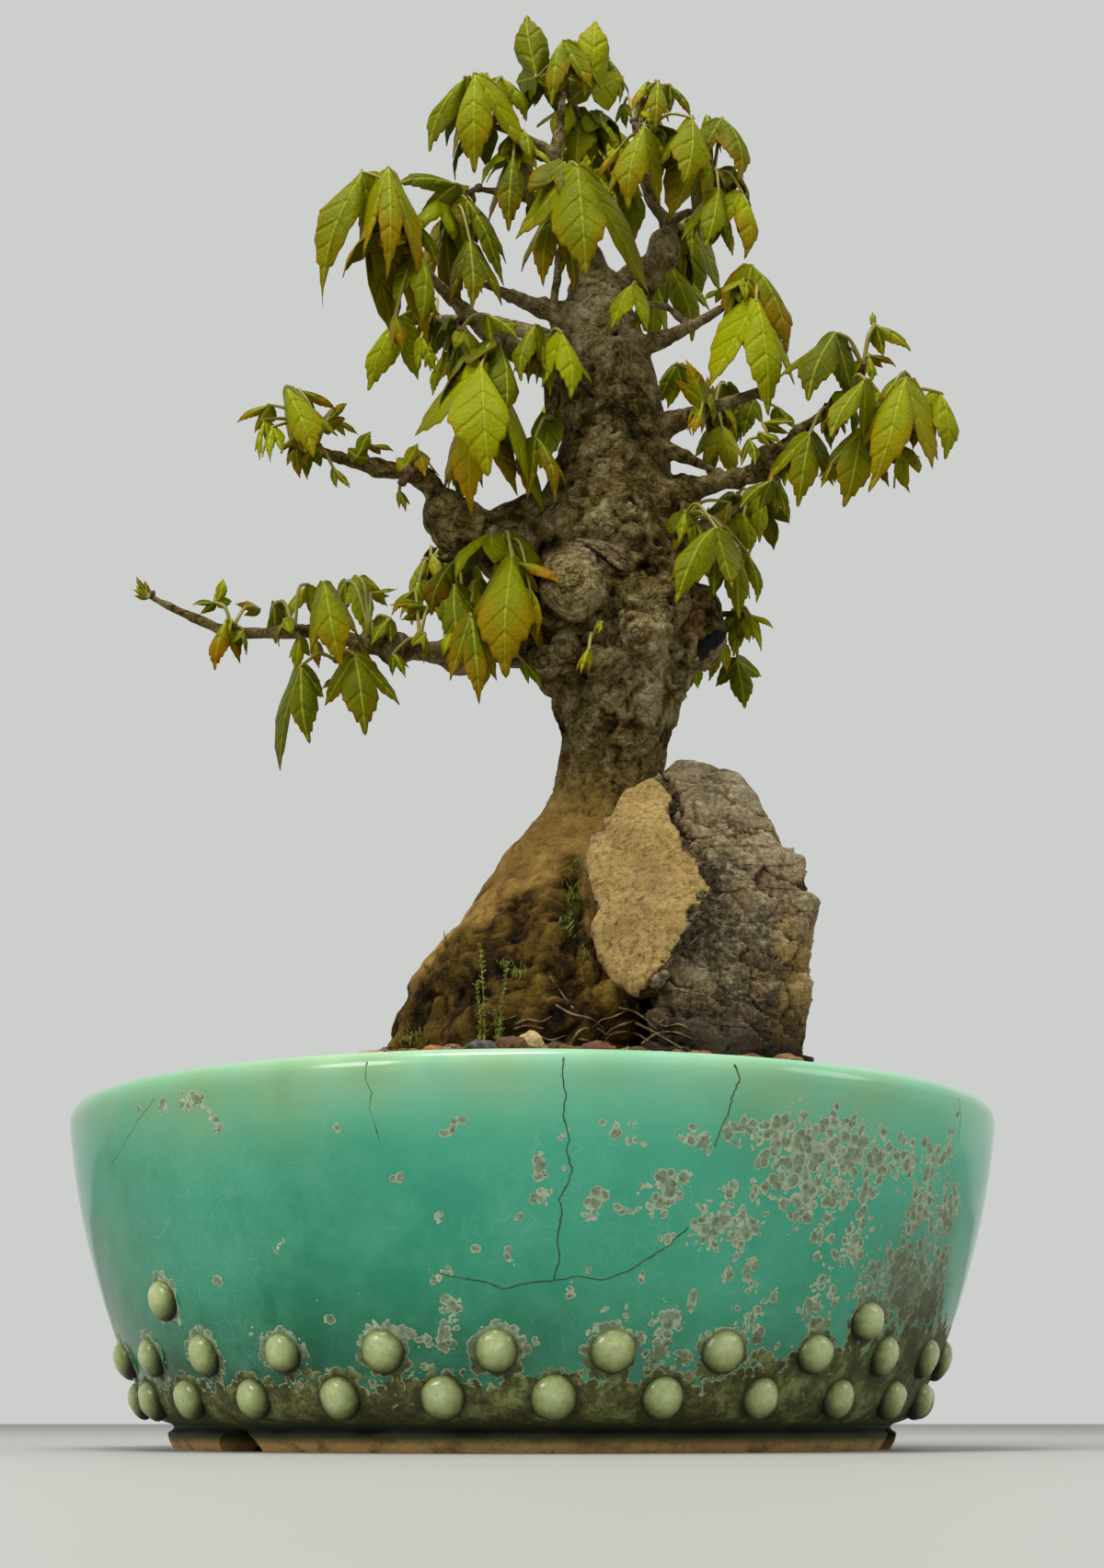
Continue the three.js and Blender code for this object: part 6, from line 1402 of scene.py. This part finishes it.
# Soil, grit, pebbles, moss and fine roots
SOIL_TOP = [(0, 91), (28, 89.6), (58, 83.5), (82, 77), (102.2, 70.6)]
SOIL_SIDE = [(101.6, 65), (94.6, 38), (83.4, 17.4), (60, 12.6), (0, 12.6)]
# Grains lie on a sunflower spiral; SOIL_ROW is the pixel row of the soil behind the rim
GRAINS, GOLDEN_ANGLE, SOIL_ROW = 3400, 2.39996, 1130
SOIL_REACH, RIM_INSIDE = 100.6, 101.8
SCREEN_CELLS = 8
# Larger stones behind the rim: px, size in mm, tone
EXTRA_PEBBLES = [
    (392, 1.6, 0.5), (437, 2.2, 0.5), (452, 2.0, 0.35), (491, 2.0, 0.86), (505, 1.8, 0.3), (557, 3.4, 0.42),
    (548, 2.2, 0.58), (598, 2.2, 0.3), (612, 2.0, 0.5), (630, 2.0, 0.45), (676, 2.2, 0.6), (692, 2.4, 0.4),
    (717, 2.3, 0.94), (735, 2.6, 0.55), (790, 2.4, 0.45), (811, 3.4, 0.5), (835, 2.6, 0.7), (853, 4.4, 0.66),
    (872, 2.4, 0.35), (575, 1.8, 0.25), (660, 1.8, 0.3), (420, 1.8, 0.4),
]
# The dark and light colour of each pebble
PEBBLES = {
    "pebble_pale": ("#85765c", "#bcae94"),
    "pebble_orange": ("#6d3a18", "#b06c38"),
    "pebble_grey": ("#26241f", "#5a564e"),
    "pebble_tan": ("#8e763f", "#ccb57e"),
    "pebble_red": ("#3f1f0f", "#7a4324"),
    "pebble_rust": ("#55290f", "#96582c"),
}
# Moss tufts: px, py, spread in pixels, blades
TUFTS = [
    (561, 1061, 9, 34), (622, 975, 12, 26), (616, 1010, 12, 22), (632, 1040, 10, 14), (626, 945, 8, 16),
    (545, 1052, 5, 12), (466, 1056, 4, 10), (452, 1130, 10, 16), (443, 1135, 8, 16), (485, 1025, 5, 8),
]
# Dry rootlets over the roots and the soil: px, py
SURFACE_ROOTS = [
    [(640, 1140), (652, 1128), (668, 1116), (686, 1110), (700, 1104)],
    [(628, 1128), (640, 1130), (652, 1136)],
    [(655, 1140), (660, 1126), (672, 1120), (690, 1122), (706, 1132)],
    [(560, 1118), (574, 1114), (590, 1118)],
    [(672, 1096), (688, 1100), (704, 1108), (716, 1120)],
    [(604, 1092), (622, 1104), (640, 1108), (655, 1118)],
    [(690, 1128), (702, 1120), (716, 1114), (728, 1106)],
    [(596, 1062), (610, 1082), (624, 1098)],
    [(562, 1113), (575, 1108), (588, 1111), (600, 1107)],
    [(619, 1136), (630, 1122), (644, 1116), (655, 1108), (666, 1104), (678, 1100)],
    [(648, 1118), (662, 1124), (680, 1120), (696, 1128)],
    [(690, 1112), (706, 1118), (722, 1128), (742, 1140)],
    [(700, 1135), (716, 1124), (734, 1122), (752, 1130)],
    [(712, 1108), (724, 1116), (738, 1114), (752, 1122)],
    [(585, 1124), (600, 1130), (616, 1126)],
    [(530, 1100), (545, 1108), (560, 1104)],
]


def soil_height(x, y):
    """The height of the soil before its grains are laid."""
    return track(SOIL_TOP, hypot(x, y))


def front_hit(px, py):
    """The first place on the tree or rock that the line of sight through a pixel meets."""
    aim = (seen(px, py, 0) - EYE).normalized()
    hits = [skin.ray_cast(EYE, aim) for skin in (tree_skin, rock_skin)]
    hits = [hit for hit in hits if hit[0]]
    return min(hits, key=lambda hit: hit[3])[:2] if hits else (None, None)


def buried(spot):
    """Whether a place is inside the wood or the stone: what lies straight above is then seen from within."""
    up = Vector((0.02, 0.01, 1)).normalized()
    for skin in (tree_skin, rock_skin):
        place, normal, _, _ = skin.ray_cast(spot, up)
        if place and normal.dot(up) > 0:
            return True
    return False


def make_soil():
    bm = spun(spaced(SOIL_TOP, 2.2) + SOIL_SIDE, 180, False)
    tone = bm.verts.layers.float.new("tone")
    for vert in bm.verts:
        spot = vert.co
        if spot.z > 69.5 and hypot(spot.x, spot.y) < 101:
            spot.z += 0.9 * noise(spot / 5) + 0.5 * noise(spot / 1.8) - 0.5
        vert[tone] = 0.14 + 0.16 * noise(spot / 4)
    to_piece("soil_bed", bm, [grit], "soil", "soil")

    bm = bmesh.new()
    tone = bm.verts.layers.float.new("tone")
    luck = random.Random(5)
    for k in range(GRAINS):
        reach = SOIL_REACH * sqrt((k + 0.5) / GRAINS)
        angle = k * GOLDEN_ANGLE + luck.uniform(-0.05, 0.05)
        x, y = reach * cos(angle), reach * sin(angle)
        size = luck.choice((0.9, 1.2, 1.5, 1.9, 2.3, 2.7))
        spot = Vector((x, y, soil_height(x, y) + 0.15 * size))
        if hypot(x, y) + size > RIM_INSIDE or buried(spot):
            continue
        own = luck.choice((0.05, 0.12, 0.2, 0.3, 0.38, 0.45, 0.52, 0.58, 0.66, 0.74, 0.82, 0.9))
        turn = Matrix.Rotation(luck.uniform(0, 6), 4, drawn(luck, (0, 1), (0, 1), (0.1, 1.1)))
        stretch = drawn(luck, (0.8, 1.25), (0.7, 1), (0.6, 0.9)) * size
        shape = Matrix.Translation(spot) @ turn @ Matrix.Diagonal((*stretch, 1))
        for vert in bmesh.ops.create_icosphere(bm, subdivisions=1, radius=1, matrix=shape)["verts"]:
            vert.co += (vert.co - spot) * luck.uniform(-0.18, 0.12)
            vert[tone] = own
    for px, size, own in EXTRA_PEBBLES:
        depth = -66 + luck.uniform(-2, 2)
        x = seen(px, SOIL_ROW, depth).x
        spot = Vector((x, depth, soil_height(x, depth) + 0.5 * size))
        made = lump(bm, spot, (size * luck.uniform(1, 1.3), size, size * luck.uniform(0.75, 0.95)), 3,
                    luck.uniform(0, 3))
        for vert in made:
            vert.co += (vert.co - spot) * (0.3 * noise(vert.co / 2.2) + 0.1 * noise(vert.co / 0.8))
            vert[tone] = own
    piece = to_piece("soil_grit", bm, [grit], "soil", "soil")
    for face in piece.data.polygons:
        face.use_smooth = False


def make_pebbles():
    for name, (dark, light) in PEBBLES.items():
        low, high = box_of(name)
        centre, half = (low + high) / 2, (high - low) / 2
        bm = bmesh.new()
        for vert in lump(bm, centre, half * 1.04, 4):
            chip = 0.16 * noise(vert.co / 2.4) + 0.07 * noise(vert.co / 0.9) - 0.03
            vert.co += (vert.co - centre) * chip
        finish = plain_material("river " + name.replace("_", " "), dark, light, 1.6, 0.8, 0.0004)
        to_piece(name + "_stone", bm, [finish], name, name)


def make_moss():
    luck = random.Random(8)
    for name, lean in (("moss_sprig_tall", -1.2), ("moss_sprig_short", 2.2)):
        low, high = box_of(name)
        foot = Vector(((low.x + high.x) / 2 - lean / 2, (low.y + high.y) / 2, low.z + 0.6))
        tip = Vector((foot.x + lean, foot.y, high.z))
        bm = bmesh.new()
        stems = [(foot, tip)]
        for _ in range(2):
            start = foot + Vector((luck.uniform(-1.6, 1.6), luck.uniform(-0.6, 0.8), 0))
            rise = Vector((luck.uniform(-1.5, 1.5), 0.3, (tip.z - foot.z) * luck.uniform(0.35, 0.8)))
            stems.append((start, start + rise))
        for start, end in stems:
            middle = (start + end) / 2 + Vector((luck.uniform(-1, 1), luck.uniform(-0.5, 0.5), 0))
            points = curve_through([start, middle, end], 10)
            tube(bm, points, [0.2 - 0.005 * i for i in range(len(points))], 5)
            for point in points[2:]:
                for _ in range(3):
                    out = drawn(luck, (-1, 1), (-1, 1), (0.2, 1.1)).normalized()
                    end = point + out * luck.uniform(0.7, 1.5)
                    tube(bm, [point, (point + end) / 2 + Vector((0, 0, 0.15)), end], [0.14, 0.17, 0.05], 4)
        for _ in range(14):
            out = drawn(luck, (-1, 1), (-1, 1), (0.1, 1)).normalized()
            base = foot + Vector((luck.uniform(-1.4, 1.4), luck.uniform(-1, 1), -0.3))
            tube(bm, [base, base + out * 0.9, base + out * 1.7], [0.3, 0.26, 0.05], 4)
        to_piece(name + "_plant", bm, [moss_green], "moss", name)


def make_tufts():
    """Moss tufts and wisps on the roots, and dry rootlets over the soil."""
    luck = random.Random(21)
    bm = bmesh.new()
    for tx, ty, spread, blades in TUFTS:
        for _ in range(blades):
            px, py = tx + luck.gauss(0, spread * 0.5), ty + luck.gauss(0, spread * 0.5)
            spot, normal = front_hit(px, py)
            if spot is None:
                continue
            out = (normal + drawn(luck, (-0.7, 0.7), (-0.5, 0.2), (0, 1))).normalized()
            tall = luck.uniform(0.9, 2.2)
            bend = Vector((0, 0, 0.3 * tall))
            blade = [spot - normal * 0.2, spot + out * tall * 0.6, spot + out * tall + bend]
            tube(bm, blade, [0.2, 0.16, 0.04], 4)
    to_piece("moss_tufts", bm, [moss_green], "moss", "tree")

    bm = bmesh.new()
    for line in SURFACE_ROOTS:
        points = []
        for px, py in line:
            spot, normal = front_hit(px, py)
            if spot is not None:
                points.append(spot + normal * 0.5)
        if len(points) > 2:
            points = curve_through(points, 6)
            radii = [0.32 - 0.16 * i / len(points) + 0.1 * noise(spot / 2) for i, spot in enumerate(points)]
            tube(bm, points, radii, 7)
    to_piece("surface_roots", bm, [root_tan], "bark", "tree")


def make_screen():
    """The woven plastic square over the drain hole, under the soil."""
    low, high = box_of("drain_screen")
    bm = bmesh.new()
    middle = (low.z + high.z) / 2
    for k in range(SCREEN_CELLS + 1):
        x = low.x + 0.5 + (high.x - low.x - 1) * k / SCREEN_CELLS
        y = low.y + 0.5 + (high.y - low.y - 1) * k / SCREEN_CELLS
        for ends in (((x, low.y + 0.4), (x, high.y - 0.4)), ((low.x + 0.4, y), (high.x - 0.4, y))):
            tube(bm, [Vector((*end, middle)) for end in ends], [0.45, 0.45], 6)
    to_piece("drain_mesh", bm, [screen_black], "screen", "drain_screen")


make_soil()
make_pebbles()
make_moss()
make_tufts()
make_screen()


# Leaves: three-lobed blades on curved stalks, one piece for each shoot
LOBE_LENGTH, LOBE_SPREAD = 0.88, 36
SINUS = 0.4
# The blade's reach by its angle: from the middle tip to a side lobe's tip in parts, then past it in degrees
BETWEEN = [
    (0, 1), (0.028, 0.95), (0.062, 0.895), (0.105, 0.84), (0.16, 0.785), (0.225, 0.735), (0.295, 0.675),
    (0.365, 0.605), (0.435, 0.525), (0.5, 0.455), (0.57, SINUS), (0.63, 0.43), (0.7, 0.5), (0.77, 0.585),
    (0.84, 0.67), (0.9, 0.745), (0.95, 0.81), (1, LOBE_LENGTH),
]
OUTSIDE = [
    (0, 1), (4, 0.92), (9, 0.82), (15, 0.71), (22, 0.61), (30, 0.52), (40, 0.43), (53, 0.33), (70, 0.23),
    (92, 0.13),
]
# How far out the blade's rows of points lie
RINGS = (0, 0.12, 0.26, 0.4, 0.54, 0.67, 0.79, 0.89, 0.96, 1)
LEAF_THICKNESS = 0.24


def leaf_rays(left, right, slim):
    """(angle, reach) of a blade's rays, from its left to its right base. slim narrows its middle lobe."""
    halves = []
    for side, (length, angle) in ((-1, left), (1, right)):
        half = []
        for part, reach in BETWEEN:
            if part > 0.57:
                reach = SINUS + (reach - SINUS) * (length - SINUS) / (LOBE_LENGTH - SINUS)
            half.append((side * part**slim * angle, reach))
        half += [(side * (angle + more), reach * length) for more, reach in OUTSIDE[1:]]
        halves.append(half)
    return halves[0][:0:-1] + halves[1]


def make_leaf(bm, layers, stalk, tip, width, turn, age, lobes, filler, luck):
    """Adds one leaf, a filler with fewer faces. Returns where its stalk ends, its axis and its facing."""
    uv, edge, age_layer, own_layer = layers
    slim = 1 + max(0, 0.9 - width) if lobes else 1
    lobes = lobes or [LOBE_LENGTH, LOBE_SPREAD * width, LOBE_LENGTH, LOBE_SPREAD * width]
    left, right_lobe = (
        (length * luck.uniform(0.78, 0.98), min(62, angle * 1.22 + 9) * luck.uniform(0.9, 1.1))
        for length, angle in (lobes[:2], lobes[2:])
    )
    folds = [radians(luck.uniform(40, 66)) for _ in range(2)]
    axis = tip - stalk
    length = axis.length
    axis.normalize()
    facing = Vector((sin(radians(turn)), -cos(radians(turn)), 0))
    facing = (facing - axis * facing.dot(axis)).normalized()
    right = facing.cross(axis)
    rays, rings = leaf_rays(left, right_lobe, slim), RINGS
    if filler:
        rays, rings = rays[::2], rings[::3]
    arch = luck.uniform(0.07, 0.15)
    wave, phase = luck.uniform(0.012, 0.035), luck.uniform(0, 6)
    curl = luck.uniform(0.02, 0.08) + 0.08 * age
    roll = luck.uniform(0.02, 0.07) + 0.05 * age
    sway = luck.uniform(-0.07, 0.07)
    own = luck.random() if slim == 1 else 0.5 + luck.random() / 2
    drift = drawn(luck, (-9, 9), (-9, 9), (-9, 9))
    sheet = bmesh.ops.create_grid(bm, x_segments=len(rays) - 1, y_segments=len(rings) - 1, size=0.5)["verts"]
    faces = list({face for vert in sheet for face in vert.link_faces})
    places = {}
    for vert in sheet:
        ray = round((vert.co.x + 0.5) * (len(rays) - 1))
        ring = round((vert.co.y + 0.5) * (len(rings) - 1))
        (angle, reach), part = rays[ray], rings[ring]
        tooth = 1 + (0.022 if ray % 2 else -0.02) * smooth(0.8, 1, part) * (0 if abs(angle) < 1 else 1)
        out = part * reach * tooth
        turned = radians(abs(angle))
        side = 1 if angle > 0 else -1
        lobe_angle = right_lobe[1] if side > 0 else left[1]
        fold = folds[side > 0] * smooth(0.25, 0.8, abs(angle) / lobe_angle)
        flat = axis * cos(turned) + (right * side * cos(fold) - facing * sin(fold)) * sin(turned)
        along = out * cos(turned)
        off = min(turned, abs(turned - radians(lobe_angle)))
        away = out * sin(off)
        lift = arch * 4 * along * (1 - along) if along > 0 else 0
        lift += wave * part**2 * sin(radians(angle) * 6 + phase)
        lift += 0.035 * part * noise(flat * out * 3 + drift) + 0.012 * noise(flat * out * 9 + drift)
        lift -= curl * smooth(0.6, 1, out) ** 2 * (1 if abs(angle) > 4 else 0.4)
        lift -= roll * (away / 0.2) ** 2 - 0.006 * (1 - smooth(0, 0.03, away))
        flat = flat + right * sway * 4 * along * (1 - along)
        vert.co = stalk + (flat * out + facing * lift) * length
        vert[edge], vert[age_layer], vert[own_layer] = part, age, own
        places[vert] = (away * length, out * length * cos(off))
    for face in faces:
        for loop in face.loops:
            loop[uv].uv = places[loop.vert]
    bmesh.ops.remove_doubles(bm, verts=sheet, dist=1e-4)
    faces = [face for face in faces if face.is_valid]
    bmesh.ops.recalc_face_normals(bm, faces=faces)
    if sum(face.normal.dot(facing) * face.calc_area() for face in faces) < 0:
        bmesh.ops.reverse_faces(bm, faces=faces)
    for face in faces:
        face.normal_update()
    front = list({vert: None for face in faces for vert in face.verts})
    for vert in front:
        vert.normal_update()
    made = bmesh.ops.duplicate(bm, geom=faces)
    twin = made["vert_map"]
    back = [part for part in made["geom"] if isinstance(part, bmesh.types.BMFace)]
    bmesh.ops.reverse_faces(bm, faces=back)
    for face in back:
        face.material_index = 1
    for vert in front:
        twin[vert].co = vert.co - vert.normal * LEAF_THICKNESS
    for edge in [edge for face in faces for edge in face.edges if len(edge.link_faces) == 1]:
        loop = edge.link_loops[0]
        ends = (loop.link_loop_next.vert, loop.vert)
        rim = bm.faces.new((*ends, twin[ends[1]], twin[ends[0]]))
        for corner, vert in zip(rim.loops, (*ends, *ends[::-1])):
            corner[uv].uv = places[vert]
    return stalk, axis, facing


def filler_leaves(name, spray, luck):
    """Smaller leaves that fill out a shoot, inside the box of its collision shape."""
    low, high = box_of("leaves_" + name)
    shoot = [seen(*row) for row in spray[0]]
    lengths = [(seen(*row[3:6]) - seen(*row[:3])).length for row in spray[1]]
    usual = sum(lengths) / len(lengths)
    if len(lengths) < 3:
        return
    for _ in range(round(len(lengths) * 0.7)):
        origin = luck.choice(shoot)
        away = Vector((origin.x - 14, origin.y - 4, 0)).normalized()
        spread = away * luck.uniform(-0.3, 1) + Vector((luck.uniform(-1, 1), luck.uniform(-1, 1), 0)) * 0.8
        stalk = origin + spread * luck.uniform(2, 6) + Vector((0, 0, luck.uniform(0, 3)))
        length = usual * luck.uniform(0.55, 0.95)
        tip = stalk + (spread * luck.uniform(0.2, 0.7) + Vector((0, 0, -1))).normalized() * length
        for axis in range(3):
            for spot in (stalk, tip):
                spot[axis] = min(max(spot[axis], low[axis] + 0.5), high[axis] - 0.5)
        if (tip - stalk).length < 7:
            continue
        turn = degrees(atan2(spread.x, -spread.y)) + luck.uniform(-40, 40)
        yield stalk, tip, luck.uniform(0.6, 1.0), turn, luck.choice((0.05, 0.15, 0.3, 0.5)), [], True


def make_sprays():
    luck = random.Random(3)
    for name, spray in SPRAYS.items():
        bm = bmesh.new()
        uv = bm.loops.layers.uv.new("veins")
        layers = (uv, *(bm.verts.layers.float.new(kept) for kept in ("edge", "age", "own")))
        shoot = [seen(*row) for row in spray[0]]
        path = curve_through(shoot, 8) if len(shoot) > 1 else shoot
        rows = [(seen(*row[:3]), seen(*row[3:6]), *row[6:9], list(row[9:]), False) for row in spray[1]]
        rows += filler_leaves(name, spray, luck)
        stalks = [make_leaf(bm, layers, *row, luck) for row in rows]
        for stalk, axis, facing in stalks:
            origin = min(path, key=lambda spot: (spot - stalk).length)
            reach = (stalk - origin).length
            rise = Vector((0, 0, 1)) * reach * 0.22 + facing * reach * 0.08
            bends = [origin, origin.lerp(stalk, 0.45) + rise, stalk, stalk + axis * 0.9 + facing * 0.1]
            points = curve_through(bends, 6)
            radii = [0.52 - 0.16 * smooth(0, 1, i / len(points)) for i in range(len(points))]
            for face in tube(bm, points, radii, 5)[1]:
                face.material_index = 2
        if len(shoot) > 1:
            radii = [0.72 + 0.12 * noise(spot) for spot in path]
            for face in tube(bm, path, radii, 8)[1]:
                face.material_index = 3
        for spot in shoot:
            for _ in range(2):
                tip = spot + drawn(luck, (-1, 1), (-1, 1), (0.2, 1.4)).normalized() * 1.9
                bends = [spot, spot.lerp(tip, 0.4), spot.lerp(tip, 0.75), tip]
                for face in tube(bm, bends, [0.85, 1.0, 0.7, 0.15], 8)[1]:
                    face.material_index = 3
        finishes = [upper_leaf, lower_leaf, stalk_green, bud_brown]
        to_piece("spray_" + name, bm, finishes, "leaf", "leaves_" + name)


make_sprays()


# Floor, light and camera
def make_stage():
    bm = bmesh.new()
    bmesh.ops.create_circle(bm, cap_ends=True, segments=96, radius=6)
    floor = held("floor", bm)
    m, add = new_material("pale floor")
    shader = add("BsdfPrincipled", {"Base Color": "#aaa8a3", "Roughness": 0.6})
    add("OutputMaterial", [shader])
    floor.data.materials.append(m)

    world = bpy.data.worlds.new("studio")
    bpy.context.scene.world = world
    world.use_nodes = True
    sky = world.node_tree.nodes["Background"]
    sky.inputs["Color"].default_value = linear("#cdcfcd")
    sky.inputs["Strength"].default_value = 1

    lamps = [
        ("overhead", (-0.15, -0.35, 1.3), 0.5, 12),
        ("front_left", (-0.9, -1.0, 0.75), 0.5, 7),
        ("right", (1.1, -0.3, 0.6), 0.5, 2),
    ]
    for name, place, size, power in lamps:
        lamp = bpy.data.lights.new(name, "AREA")
        lamp.shape, lamp.size, lamp.energy = "DISK", size, power
        shown = bpy.data.objects.new(name, lamp)
        shown.location = place
        shown.rotation_euler = (Vector((0, 0, 0.16)) - Vector(place)).to_track_quat("-Z", "Y").to_euler()
        bpy.context.scene.collection.objects.link(shown)

    camera = bpy.data.cameras.new("camera")
    camera.sensor_width = 36
    camera.lens = 36 * FOCAL / IMAGE_HEIGHT
    camera.clip_start = 0.01
    shown = bpy.data.objects.new("camera", camera)
    shown.location = EYE * MM
    shown.rotation_euler = (pi / 2 + PITCH, 0, 0)
    bpy.context.scene.collection.objects.link(shown)
    bpy.context.scene.camera = shown
    bpy.context.scene.view_settings.view_transform = "Standard"


make_stage()
